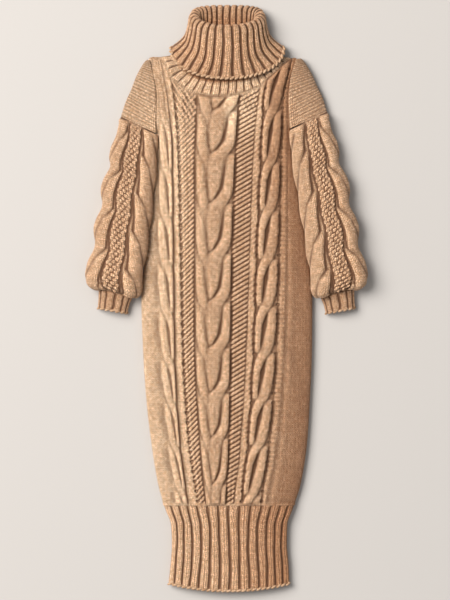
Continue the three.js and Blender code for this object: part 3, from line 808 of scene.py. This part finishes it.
def yoke_face(u, v):
    place = np.interp(u * yoke_run[-1], yoke_run, yoke_places)
    outer = front_face(place, np.ones_like(u))
    inner = collar_face(0.5 * u, np.ones_like(u))
    toward = inner - collar_face(0.5 * u, np.full_like(u, 0.96))
    inner = inner + YOKE_UNDER_COLLAR * toward / np.linalg.norm(toward, axis=-1, keepdims=True)
    inner[..., 2] += COLLAR_WALL / 2 - 1.6
    way = inner - outer
    start = outer + YOKE_SEAM * way / np.linalg.norm(way, axis=-1, keepdims=True)
    points = mix(start, inner, v[..., None])
    points[..., 2] -= YOKE_TUCK * smooth(0.1, 0.34, np.abs(u - 0.5)) * smooth(0, 0.4, v)
    return points


def yoke_painted_light(u, v):
    """Painted shadow: the yoke is painted dark where it goes under the collar's edge, and paler elsewhere as
    painted light.
    """
    return mix(1.4, -0.8, smooth(0.42, 0.6, v))


def yoke_relief(u, v):
    place = u * YOKE_RIBS + wandering(u, v, 0.04)
    return YOKE_RIB_HIGH * rib_wave(place, 3.2) * smooth(0, 0.12, v) * smooth(1, 0.9, v)


def build_collar(material):
    collar = cloth("roll_collar_knit", collar_face, evenly(COLLAR_RIBS * 12)[:-1], evenly(150),
                   evenly(60)[:-1], evenly(30), wall=COLLAR_WALL, relief=collar_relief,
                   uv=rib_uv(COLLAR_RIBS, 2, 290), ring=True, middle=True, relief_shade_reach=(5, 2), painted_light=collar_painted_light)
    finish_cloth(collar, "roll_collar", material)
    rim = edge_points(collar_face, np.linspace(-0.03, 0.53, 120) % 1, COLLAR_WALL / 2 + 1.6)
    build_chain("collar_bound_edge", rim, 0.5)
    yoke = cloth("neck_yoke_knit", yoke_face, evenly(YOKE_RIBS * 16), evenly(44), evenly(30), evenly(6),
                 relief=yoke_relief, uv=rib_uv(YOKE_RIBS, 2, 70), limit=above_seam, relief_shade_reach=(5, 2),
                 painted_light=yoke_painted_light)
    finish_cloth(yoke, "neck_yoke", material)


# Sleeves, cuffs and shoulders
def side_point(side, reach, y):
    share = smooth(LIFT_FROM_Y, UNDERARM_Y, y) * (side > 0)
    lift = RIGHT_LIFT * (1 - 0.75 * smooth(LEVEL_FROM_Y, 566, y))
    return side * (reach - RIGHT_SHOULDER_IN * share), y + lift * share


def body_reach(side, y):
    return body_right(y) if side > 0 else -body_left(y)


def tube_face(side, rows):
    curves = table_curves(rows, ROUND)

    def face(u, v):
        across, up = round_at(u, 2.3, 4)
        outer_x, outer_y = side_point(side, curves["reach"](v), curves["outer_y"](v))
        inner_x, inner_y = side_point(side, curves["inner_reach"](v), curves["inner_y"](v))
        inner_x = side * np.maximum(body_reach(side, inner_y) + BODY_CLEAR, side * inner_x)
        t = (1 - side * across) / 2
        height = curves["height"](v)
        middle = 0.4 * height
        z = np.where(up >= 0, mix(middle, height, up), mix(middle, 0, -up))
        return np.stack([mix(outer_x, inner_x, t), mix(outer_y, inner_y, t), z], -1)

    return face


SLEEVE_AROUND = 300
OUTER_CABLE = dict(middle=0.092, half=0.098, high=9.5)
INNER_CABLE = dict(middle=0.395, half=0.112, high=12, shift=40)
PANEL_FROM = 0.188
PANEL_TO = 0.278
PANEL_HIGH = 4.6
PANEL_LINE_DEEP = 2.2
MOSS_ROW = 9.4
MOSS_BUMP = 7.4
SLEEVE_TURNS = (-55, 30, 112, 205, 296, 388, 470)
sleeve_middles = [
    dict(i=i / (len(SLEEVE_ROUNDS) - 1), y=(row["outer_y"] + row["inner_y"]) / 2)
    for i, row in enumerate(SLEEVE_ROUNDS)]
sleeve_ys = through(sleeve_middles, "i", "y")

# Sleeve cables show one fat lobe a turn, each sweeping outwards over the next one below
LOBE_PATH = ((0, 0.5, 1.0, 1.5, 2), (0.5, 0.32, 0.02, -0.34, -0.6))
LOBE_WIDTHS = ((0, 0.5, 1.0, 1.5, 2), (0.4, 0.52, 0.66, 0.6, 0.42))


def lobes(across, y, turns):
    down = turn_share(y, turns)
    young = strand(across, down, LOBE_PATH, LOBE_WIDTHS, rise=0.3)
    old = strand(across, down + 1, LOBE_PATH, LOBE_WIDTHS, tip=0.5)
    return np.maximum(young * mix(0.75, 1, down), old * mix(1, 0.8, down))


def moss(across_mm, y):
    """Slanting rows of small bumps, each row shifted by half a bump."""
    row = (y + 0.6 * across_mm) / MOSS_ROW
    return hump(row, 1.3) * (0.55 + 0.45 * wave(across_mm / MOSS_BUMP + 0.5 * np.floor(row)))


def outward_share(side, u):
    """How far round the tube from its outer side, over the top: 0.5 is the inner side."""
    return u if side < 0 else (0.5 - u) % 1


def sleeve_relief(side):
    def relief(u, v):
        outward = outward_share(side, u)
        y = sleeve_ys(v)
        fade = smooth(0, 0.1, v) * smooth(1, 0.985, v)
        top = smooth(0.5, 0.46, outward) + smooth(0.94, 0.98, outward)
        outer_off = ((outward + 0.5) % 1 - 0.5 - OUTER_CABLE["middle"]) / OUTER_CABLE["half"]
        inner_off = (INNER_CABLE["middle"] - outward) / INNER_CABLE["half"]
        outer = OUTER_CABLE["high"] * lobes(outer_off, y, SLEEVE_TURNS)
        inner = INNER_CABLE["high"] * lobes(inner_off, y + INNER_CABLE["shift"], SLEEVE_TURNS)
        panel = smooth(PANEL_FROM - 0.006, PANEL_FROM + 0.006, outward)
        panel = panel * smooth(PANEL_TO + 0.004, PANEL_TO - 0.006, outward)
        bumps = panel * PANEL_HIGH * moss(outward * SLEEVE_AROUND, y)
        lines = groove((outward - PANEL_FROM) * SLEEVE_AROUND, 2.4)
        lines = lines + groove((outward - PANEL_TO) * SLEEVE_AROUND, 2.2)
        return (outer + inner + bumps - PANEL_LINE_DEEP * lines) * fade * np.clip(top, 0, 1)

    return relief


def sleeve_relief_shade(side):
    """The hollows of the panel get more painted shade than those of the cables."""
    def weight(u, v):
        outward = outward_share(side, u)
        return mix(0.85, 1, smooth(0.17, 0.19, outward) * smooth(0.295, 0.275, outward))

    return weight


def sleeve_uv(u, v):
    return u * SLEEVE_AROUND / STITCH_WIDE, sleeve_ys(v) / STITCH_HIGH


def cuff_relief(u, v):
    place = u * CUFF_RIBS + wandering(u, v, 0.03)
    return CUFF_RIB_HIGH * rib_wave(place) * np.where(u > 0.5, 0, 1) * smooth(1, 0.85, v)


def shoulder_face(side):
    curves = table_curves(SHOULDER_ROUNDS, ("reach", "outer_y", "arm_y", "height"))

    def face(u, v):
        angle = (-np.pi / 2 if side < 0 else np.pi / 2) - np.pi * u
        out = np.abs(np.cos(angle)) ** (2 / 2.6)
        sine = np.sin(angle)
        outer_x, outer_y = side_point(side, curves["reach"](v), curves["outer_y"](v))
        arm_y = side_point(side, 0, curves["arm_y"](v))[1]
        inner_x = side * (body_reach(side, arm_y) + ARMHOLE_GAP)
        height = curves["height"](v)
        middle = 0.42 * height
        top = mix(middle, height, np.abs(sine) ** 0.75)
        under = mix(middle, 0, np.abs(sine) ** 0.45)
        z = np.where(sine >= 0, top, under)
        return np.stack([mix(inner_x, outer_x, out), mix(arm_y, outer_y, out), z], -1)

    return face


def shoulder_relief(side):
    """Cross ridges on top only."""
    def relief(u, v):
        shown = smooth(0.3, 0.4, u if side < 0 else 1 - u)
        row = v * GARTER_ROWS
        ridge = 0.5 + 0.5 * wave(row)
        bumps = 0.75 + 0.25 * wave(u * 22 + 0.5 * np.floor(row + 0.5))
        return GARTER_HIGH * ridge * bumps * shown * smooth(0, 0.02, v)

    return relief


def build_arm(name, material, rib_material):
    side = SIDES[name]
    # Painted light: the left shoulder is painted paler than the right one
    shoulder = cloth(f"{name}_shoulder_knit", shoulder_face(side), evenly(70), evenly(GARTER_ROWS * 7),
                     evenly(16), evenly(12), relief=shoulder_relief(side), uv=lambda u, v: (u * 40, v * 40),
                     relief_shade_reach=(2, 4), painted_light=everywhere(1.35 if side < 0 else 0.9))
    finish_cloth(shoulder, f"{name}_shoulder", material)
    # Painted light: the sleeves are painted a little dim
    sleeve = cloth(f"{name}_sleeve_knit", tube_face(side, SLEEVE_ROUNDS), evenly(190)[:-1], evenly(230),
                   evenly(24)[:-1], evenly(20), relief=sleeve_relief(side), uv=sleeve_uv, ring=True,
                   relief_shade_reach=(4, 5), relief_shade_weight=sleeve_relief_shade(side), painted_light=everywhere(0.85))
    finish_cloth(sleeve, f"{name}_sleeve", material)
    cuff_face = tube_face(side, CUFF_ROUNDS)
    cuff = cloth(f"{name}_cuff_knit", cuff_face, evenly(CUFF_RIBS * 14)[:-1], evenly(46), evenly(24)[:-1],
                 evenly(5), relief=cuff_relief, uv=rib_uv(CUFF_RIBS, 3, 55), ring=True, relief_shade_reach=(5, 2))
    finish_cloth(cuff, f"{name}_cuff", rib_material)
    build_chain(f"{name}_cuff_bound_edge", edge_points(cuff_face, np.linspace(0.02, 0.48, 60), 0.4), 0.4)


# Bound-off edges: a chain of slanting links along an edge, made by one geometry node tree
CHAIN_LINK = (0.6, 0.27, 0.25)


def chain_tree():
    tree = bpy.data.node_groups.get("Bound-off chain")
    if tree:
        return tree
    tree = bpy.data.node_groups.new("Bound-off chain", "GeometryNodeTree")
    group_socket(tree, "Geometry", "NodeSocketGeometry", "INPUT")
    for name, kind in (("Step", "NodeSocketFloat"), ("Slant", "NodeSocketFloat"), ("Seed", "NodeSocketInt"),
                       ("Material", "NodeSocketMaterial")):
        group_socket(tree, name, kind, "INPUT")
    group_socket(tree, "Geometry", "NodeSocketGeometry", "OUTPUT")
    add, calc, link = partial(add_node, tree), partial(math_node, tree), tree.links.new
    inputs, out = add("NodeGroupInput"), add("NodeGroupOutput")
    even = add("GeometryNodeResampleCurve", mode="LENGTH")
    link(inputs.outputs["Geometry"], even.inputs["Curve"])
    link(inputs.outputs["Step"], even.inputs["Length"])
    ball = add("GeometryNodeMeshIcoSphere", {"Radius": 1, "Subdivisions": 3})
    tangent = add("GeometryNodeInputTangent")
    along = add("FunctionNodeAlignRotationToVector", axis="X")
    link(tangent.outputs[0], along.inputs["Vector"])
    chance = add("FunctionNodeRandomValue", {2: 0.7, 3: 1.3}, data_type="FLOAT")
    link(inputs.outputs["Seed"], chance.inputs["Seed"])
    turn = add("FunctionNodeAxisAngleToRotation", {"Axis": (0, 0, 1)})
    link(calc("MULTIPLY", chance.outputs[1], inputs.outputs["Slant"]), turn.inputs["Angle"])
    both = add("FunctionNodeRotateRotation", rotation_space="LOCAL")
    link(along.outputs[0], both.inputs["Rotation"])
    link(turn.outputs[0], both.inputs["Rotate By"])
    size = add("ShaderNodeCombineXYZ")
    for axis, share in enumerate(CHAIN_LINK):
        link(calc("MULTIPLY", inputs.outputs["Step"], share), size.inputs[axis])
    put = add("GeometryNodeInstanceOnPoints")
    link(even.outputs[0], put.inputs["Points"])
    link(ball.outputs["Mesh"], put.inputs["Instance"])
    link(both.outputs[0], put.inputs["Rotation"])
    link(size.outputs[0], put.inputs["Scale"])
    real = add("GeometryNodeRealizeInstances")
    link(put.outputs[0], real.inputs[0])
    dress = add("GeometryNodeSetMaterial")
    link(real.outputs[0], dress.inputs["Geometry"])
    link(inputs.outputs["Material"], dress.inputs["Material"])
    link(dress.outputs[0], out.inputs["Geometry"])
    return tree


def edge_points(face, us, lift):
    """Points along a face's first edge, lifted off it."""
    at = np.zeros_like(us)
    across = face(us + NORMAL_STEP, at) - face(us - NORMAL_STEP, at)
    along = face(us, at + NORMAL_STEP) - face(us, at)
    normal = np.cross(across, along)
    normal /= np.linalg.norm(normal, axis=1, keepdims=True)
    return face(us, at) + normal * lift


def build_chain(name, points, slant):
    settings = bpy.context.scene.dress
    curve = bpy.data.curves.new(name + "_path", "CURVE")
    curve.dimensions = "3D"
    line = curve.splines.new("POLY")
    line.points.add(len(points) - 1)
    line.points.foreach_set("co", np.hstack([points * MM, np.ones((len(points), 1))]).reshape(-1))
    path = put_in_scene(name + "_path", curve)
    tree = chain_tree()
    modifier = path.modifiers.new("chain", "NODES")
    modifier.node_group = tree
    material = bpy.data.materials["Edge yarn"]
    values = {"Step": settings.chain_step, "Slant": slant, "Seed": settings.seed, "Material": material}
    for socket in tree.interface.items_tree:
        if socket.in_out == "INPUT" and socket.name in values:
            modifier[socket.identifier] = values[socket.name]
    graph = bpy.context.evaluated_depsgraph_get()
    mesh = bpy.data.meshes.new_from_object(path.evaluated_get(graph))
    mesh.polygons.foreach_set("use_smooth", np.ones(len(mesh.polygons), bool))
    bpy.data.objects.remove(path)
    piece = put_in_scene(name, mesh)
    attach(piece, BODY)


# Materials
V_SLANT = 1.5
GAP_POWER = 0.6
# Painted shade colours: the dark tint of hollows, creases and stitch gaps, and the tint of the side painted
# dim
PAINTED_SHADE_COLOUR = (0.13, 0.05, 0.019, 1)
PAINTED_DIM_SIDE_COLOUR = (0.62, 0.47, 0.37, 1)
KNIT_SURFACE = {
    "Roughness": 0.7,
    "Specular IOR Level": 0.35,
    "Sheen Weight": 0.12,
    "Sheen Roughness": 0.5,
    "Sheen Tint": (1.0, 0.86, 0.72, 1),
}
EDGE_SURFACE = {"Roughness": 0.92, "Specular IOR Level": 0.2}


def group_socket(tree, name, kind, direction, default=None):
    socket = tree.interface.new_socket(name=name, in_out=direction, socket_type=kind)
    if default is not None:
        socket.default_value = default


def add_node(tree, kind, inputs=None, **settings):
    """A new node with its settings and its inputs' values."""
    node = tree.nodes.new(kind)
    for name, value in settings.items():
        setattr(node, name, value)
    for name, value in (inputs or {}).items():
        node.inputs[name].default_value = value
    return node


def math_node(tree, operation, first, second=None, third=None):
    node = tree.nodes.new("ShaderNodeMath")
    node.operation = operation
    for index, value in enumerate((first, second, third)):
        if value is None:
            continue
        if isinstance(value, (int, float)):
            node.inputs[index].default_value = value
        else:
            tree.links.new(value, node.inputs[index])
    return node.outputs[0]


def stitch_group():
    """Stocking-stitch heights: each stitch is a V of two slanting yarns, row on row."""
    tree = bpy.data.node_groups.new("Stocking stitch", "ShaderNodeTree")
    for name in ("Height", "Gap", "Own shade"):
        group_socket(tree, name, "NodeSocketFloat", "OUTPUT")
    add, calc, link = partial(add_node, tree), partial(math_node, tree), tree.links.new
    out = add("NodeGroupOutput")
    place = add("ShaderNodeUVMap", uv_map="Stitches")
    wobble = add("ShaderNodeTexNoise", {"Scale": 0.35, "Detail": 2})
    link(place.outputs[0], wobble.inputs["Vector"])
    split = add("ShaderNodeSeparateXYZ")
    link(place.outputs[0], split.inputs[0])
    shift = calc("MULTIPLY_ADD", wobble.outputs["Fac"], 0.9, -0.45)
    columns = calc("ADD", split.outputs[0], shift)
    away = calc("ABSOLUTE", calc("SUBTRACT", calc("FRACT", columns), 0.5))
    rows = calc("ADD", calc("MULTIPLY_ADD", away, V_SLANT, split.outputs[1]), shift)
    cell = add("ShaderNodeCombineXYZ")
    link(calc("FLOOR", columns), cell.inputs[0])
    link(calc("FLOOR", rows), cell.inputs[1])
    chance = add("ShaderNodeTexWhiteNoise", noise_dimensions="2D")
    link(cell.outputs[0], chance.inputs["Vector"])
    row_off = calc("ABSOLUTE", calc("SUBTRACT", calc("FRACT", rows), 0.5))
    row_round = calc("SUBTRACT", 1, calc("POWER", calc("MULTIPLY", row_off, 2), 2.2))
    leg_off = calc("ABSOLUTE", calc("SUBTRACT", away, 0.25))
    leg_round = calc("SUBTRACT", 1, calc("POWER", calc("MULTIPLY", leg_off, 4), 2.5))
    height = calc("MULTIPLY", row_round, leg_round)
    link(height, out.inputs["Height"])
    link(calc("SUBTRACT", 1, calc("POWER", height, GAP_POWER)), out.inputs["Gap"])
    link(chance.outputs["Value"], out.inputs["Own shade"])
    return tree


def marl_group():
    """Marled yarn: paler and darker fibres spun together, in flecks a stitch long."""
    tree = bpy.data.node_groups.new("Marled yarn", "ShaderNodeTree")
    group_socket(tree, "Pale", "NodeSocketColor", "INPUT", (0.7, 0.5, 0.33, 1))
    group_socket(tree, "Dark", "NodeSocketColor", "INPUT", (0.35, 0.2, 0.11, 1))
    group_socket(tree, "Color", "NodeSocketColor", "OUTPUT")
    group_socket(tree, "Fibre", "NodeSocketFloat", "OUTPUT")
    add, calc, link = partial(add_node, tree), partial(math_node, tree), tree.links.new
    inputs, out = add("NodeGroupInput"), add("NodeGroupOutput")
    place = add("ShaderNodeTexCoord")
    fleck = add("ShaderNodeTexNoise", {"Scale": 230, "Detail": 4, "Roughness": 0.7})
    slow = add("ShaderNodeTexNoise", {"Scale": 16, "Detail": 4})
    for node in (fleck, slow):
        link(place.outputs["Object"], node.inputs["Vector"])
    flecks = calc("MULTIPLY", fleck.outputs["Fac"], 1.1)
    span = add("ShaderNodeMapRange", {"From Min": 0.5, "From Max": 0.74})
    link(calc("MULTIPLY_ADD", slow.outputs["Fac"], 0.14, flecks), span.inputs["Value"])
    blend = add("ShaderNodeMix", data_type="RGBA")
    link(span.outputs[0], blend.inputs["Factor"])
    link(inputs.outputs["Dark"], blend.inputs["A"])
    link(inputs.outputs["Pale"], blend.inputs["B"])
    link(blend.outputs["Result"], out.inputs["Color"])
    link(fleck.outputs["Fac"], out.inputs["Fibre"])
    return tree


def yarn_material(name, groups, pale, dark, surface):
    """Start a material: the node tree, its shader with the surface's values, and the marled yarn."""
    material = bpy.data.materials.new(name)
    material.use_nodes = True
    tree = material.node_tree
    shader = tree.nodes["Principled BSDF"]
    for key, value in surface.items():
        shader.inputs[key].default_value = value
    marl = add_node(tree, "ShaderNodeGroup", node_tree=groups["marl"])
    marl.inputs["Pale"].default_value = (*pale, 1)
    marl.inputs["Dark"].default_value = (*dark, 1)
    return tree, shader, marl


def bump_from(tree, height, strength, distance, shader):
    relief = add_node(tree, "ShaderNodeBump", {"Strength": strength, "Distance": distance})
    tree.links.new(height, relief.inputs["Height"])
    tree.links.new(relief.outputs[0], shader.inputs["Normal"])


def knit_material(name, groups, pale, dark, bump, gap_shade_depth):
    """Marled yarn with painted shade in the gaps between stitches and in the relief's hollows, painted
    highlight on its crests, and painted light and shade across each piece from a per-point attribute.
    """
    tree, shader, marl = yarn_material(name, groups, pale, dark, KNIT_SURFACE)
    add, calc, link = partial(add_node, tree), partial(math_node, tree), tree.links.new
    stitches = add("ShaderNodeGroup", node_tree=groups["stitch"])
    # Painted shade in the hollows and painted highlight on the crests
    painted_relief_shade = add("ShaderNodeAttribute", attribute_name="painted_relief_shade")
    deep = add("ShaderNodeMapRange", {"From Min": -1.1, "From Max": 0.62, "To Min": 0.08, "To Max": 1.24})
    link(painted_relief_shade.outputs["Fac"], deep.inputs["Value"])
    # Painted shade in the gaps between stitches
    gap_shade = calc("MULTIPLY_ADD", stitches.outputs["Gap"], -gap_shade_depth, 1)
    own = calc("MULTIPLY_ADD", stitches.outputs["Own shade"], 0.45, 0.98)
    # Painted light and shade from the attribute: above 1 paler, below 1 tinted toward the dim side's colour,
    # below 0 darker still as painted shadow
    painted_light = add("ShaderNodeAttribute", attribute_name="painted_light")
    shaded = calc("MINIMUM", calc("ADD", painted_light.outputs["Fac"], 1), 1)
    shade = calc("MULTIPLY", calc("MULTIPLY", deep.outputs[0], gap_shade), own)
    shade = calc("MULTIPLY", shade, shaded)
    # Painted shade: the yarn is tinted toward the dark shade colour in hollows and stitch gaps, and made paler
    # past 1 as painted highlight
    tint = add("ShaderNodeMix", data_type="RGBA", clamp_factor=False)
    tint.inputs["A"].default_value = PAINTED_SHADE_COLOUR
    link(shade, tint.inputs["Factor"])
    painted_light_tint = add("ShaderNodeMix", data_type="RGBA", clamp_factor=False)
    painted_light_tint.inputs["A"].default_value = PAINTED_DIM_SIDE_COLOUR
    painted_light_tint.inputs["B"].default_value = (1.0, 1.0, 1.0, 1)
    link(calc("MAXIMUM", painted_light.outputs["Fac"], 0), painted_light_tint.inputs["Factor"])
    painted_light_yarn = add("ShaderNodeMix", {"Factor": 1}, data_type="RGBA", blend_type="MULTIPLY")
    link(marl.outputs["Color"], painted_light_yarn.inputs["A"])
    link(painted_light_tint.outputs["Result"], painted_light_yarn.inputs["B"])
    link(painted_light_yarn.outputs["Result"], tint.inputs["B"])
    link(tint.outputs["Result"], shader.inputs["Base Color"])
    height = calc("MULTIPLY_ADD", marl.outputs["Fibre"], 0.35, stitches.outputs["Height"])
    bump_from(tree, height, bump, 0.0032, shader)


def edge_material(groups, pale, dark):
    """The chain's yarn, painted a little darker as shade, because it has no stitch gaps that get the knit's
    painted shade.
    """
    pale = [0.68 * part for part in pale]
    dark = [0.6 * part for part in dark]
    tree, shader, marl = yarn_material("Edge yarn", groups, pale, dark, EDGE_SURFACE)
    tree.links.new(marl.outputs["Color"], shader.inputs["Base Color"])
    bump_from(tree, marl.outputs["Fibre"], 0.5, 0.001, shader)


# Add-on settings, one operator for each piece, and the panel
class DressSettings(bpy.types.PropertyGroup):
    pale: FloatVectorProperty(name="Pale yarn", description="Colour of the paler fibres", subtype="COLOR",
                              default=(0.9, 0.62, 0.405), min=0, max=1)
    dark: FloatVectorProperty(name="Dark yarn", description="Colour of the darker fibres", subtype="COLOR",
                              default=(0.6, 0.335, 0.174), min=0, max=1)
    stitch_bump: FloatProperty(name="Stitch relief", description="Strength of the stitches' bump",
                               default=0.75, min=0, max=1, subtype="FACTOR")
    # Painted shade in the gaps between stitches
    stitch_gap_shade: FloatProperty(name="Stitch gaps", description="How dark the gaps between stitches are",
                              default=0.8, min=0, max=1, subtype="FACTOR")
    chain_step: FloatProperty(name="Bind-off stitch", description="Length of one stitch along the edge",
                              default=0.0115, min=0.003, unit="LENGTH")
    seed: IntProperty(name="Seed", description="Seed for the bound-off edges' unevenness", default=4, min=0)


def knit_materials():
    settings = bpy.context.scene.dress
    if "Cable knit" not in bpy.data.materials:
        groups = {"stitch": stitch_group(), "marl": marl_group()}
        yarn = (settings.pale, settings.dark, settings.stitch_bump, settings.stitch_gap_shade)
        for name in ("Cable knit", "Rib knit"):
            knit_material(name, groups, *yarn)
        edge_material(groups, settings.pale, settings.dark)
    return bpy.data.materials["Cable knit"], bpy.data.materials["Rib knit"]


class DRESS_OT_front(bpy.types.Operator):
    """Build the cabled front of the body"""
    bl_idname = "dress.front"
    bl_label = "Front"

    def execute(self, context):
        build_front(knit_materials()[0])
        return {"FINISHED"}


class DRESS_OT_back(bpy.types.Operator):
    """Build the plain back of the body"""
    bl_idname = "dress.back"
    bl_label = "Back"

    def execute(self, context):
        build_back(knit_materials()[0])
        return {"FINISHED"}


class DRESS_OT_hem(bpy.types.Operator):
    """Build the hem rib, front and back"""
    bl_idname = "dress.hem"
    bl_label = "Hem rib"

    def execute(self, context):
        build_hem(knit_materials()[1])
        return {"FINISHED"}


class DRESS_OT_collar(bpy.types.Operator):
    """Build the roll collar and the neck yoke under it"""
    bl_idname = "dress.collar"
    bl_label = "Collar and yoke"

    def execute(self, context):
        build_collar(knit_materials()[1])
        return {"FINISHED"}


class DRESS_OT_arms(bpy.types.Operator):
    """Build both shoulder pieces, sleeves and cuffs"""
    bl_idname = "dress.arms"
    bl_label = "Shoulders, sleeves and cuffs"

    def execute(self, context):
        for name in SIDES:
            build_arm(name, *knit_materials())
        return {"FINISHED"}


# Stage: table, lights, world and camera, in metres
TABLE_HALF = 12
TABLE_COLOUR = (0.55, 0.528, 0.505, 1)
LIGHTS = table(
    ("name", "place", "size", "power", "colour"),
    ("window", (-5.8, 3.0, 7.1), 6.5, 1500, (1.0, 0.962, 0.925)),
    ("fill", (2.5, -1.5, 3.0), 3.0, 8, (0.95, 0.97, 1.0)),
)
WORLD_COLOUR = (1.0, 0.985, 0.97, 1)
WORLD_STRENGTH = 0.33
SENSOR_HEIGHT = 36
PICTURE_HEIGHT = 1.44
CAMERA_AT = (-0.0036, -0.0048, 9.0)


def area_light(name, place, size, power, colour):
    """An area light that is aimed at the middle of the dress."""
    light = bpy.data.lights.new(name, "AREA")
    light.size = size
    light.energy = power
    light.color = colour
    lamp = put_in_scene(name, light)
    lamp.location = place
    lamp.rotation_euler = (-Vector(place)).to_track_quat("-Z", "Y").to_euler()


def build_table():
    builder = bmesh.new()
    bmesh.ops.create_grid(builder, x_segments=1, y_segments=1, size=TABLE_HALF)
    mesh = bpy.data.meshes.new("table")
    builder.to_mesh(mesh)
    builder.free()
    paper = bpy.data.materials.new("Pale table")
    paper.use_nodes = True
    shader = paper.node_tree.nodes["Principled BSDF"]
    shader.inputs["Base Color"].default_value = TABLE_COLOUR
    shader.inputs["Roughness"].default_value = 0.9
    mesh.materials.append(paper)
    put_in_scene("table", mesh)


def build_world(scene):
    world = bpy.data.worlds.new("studio")
    world.use_nodes = True
    background = world.node_tree.nodes["Background"]
    background.inputs["Color"].default_value = WORLD_COLOUR
    background.inputs["Strength"].default_value = WORLD_STRENGTH
    scene.world = world
    scene.view_settings.view_transform = "Standard"


def build_camera(scene):
    camera = bpy.data.cameras.new("camera")
    camera.sensor_fit = "VERTICAL"
    camera.sensor_height = SENSOR_HEIGHT
    camera.lens = SENSOR_HEIGHT * CAMERA_AT[2] / PICTURE_HEIGHT
    eye = put_in_scene("camera", camera)
    eye.location = CAMERA_AT
    scene.camera = eye


class DRESS_OT_stage(bpy.types.Operator):
    """Make the pale table, the soft light from the upper left and the overhead camera"""
    bl_idname = "dress.stage"
    bl_label = "Stage"

    def execute(self, context):
        build_table()
        for light in LIGHTS:
            area_light(**light)
        build_world(context.scene)
        build_camera(context.scene)
        return {"FINISHED"}


class DRESS_PT_panel(bpy.types.Panel):
    """The dress's settings and pieces"""
    bl_idname = "DRESS_PT_panel"
    bl_label = "Sweater dress"
    bl_space_type = "VIEW_3D"
    bl_region_type = "UI"
    bl_category = "Dress"

    def draw(self, context):
        for name in DressSettings.__annotations__:
            self.layout.prop(context.scene.dress, name)
        for operator in OPERATORS:
            self.layout.operator(operator.bl_idname)


OPERATORS = (DRESS_OT_stage, DRESS_OT_front, DRESS_OT_back, DRESS_OT_hem, DRESS_OT_collar, DRESS_OT_arms)
CLASSES = (DressSettings, *OPERATORS, DRESS_PT_panel)


def register():
    for each in CLASSES:
        bpy.utils.register_class(each)
    bpy.types.Scene.dress = PointerProperty(type=DressSettings)


def unregister():
    del bpy.types.Scene.dress
    for each in reversed(CLASSES):
        bpy.utils.unregister_class(each)


def main():
    register()
    bpy.ops.dress.stage()
    bpy.ops.dress.front()
    bpy.ops.dress.back()
    bpy.ops.dress.hem()
    bpy.ops.dress.collar()
    bpy.ops.dress.arms()


if __name__ == "__main__":
    main()
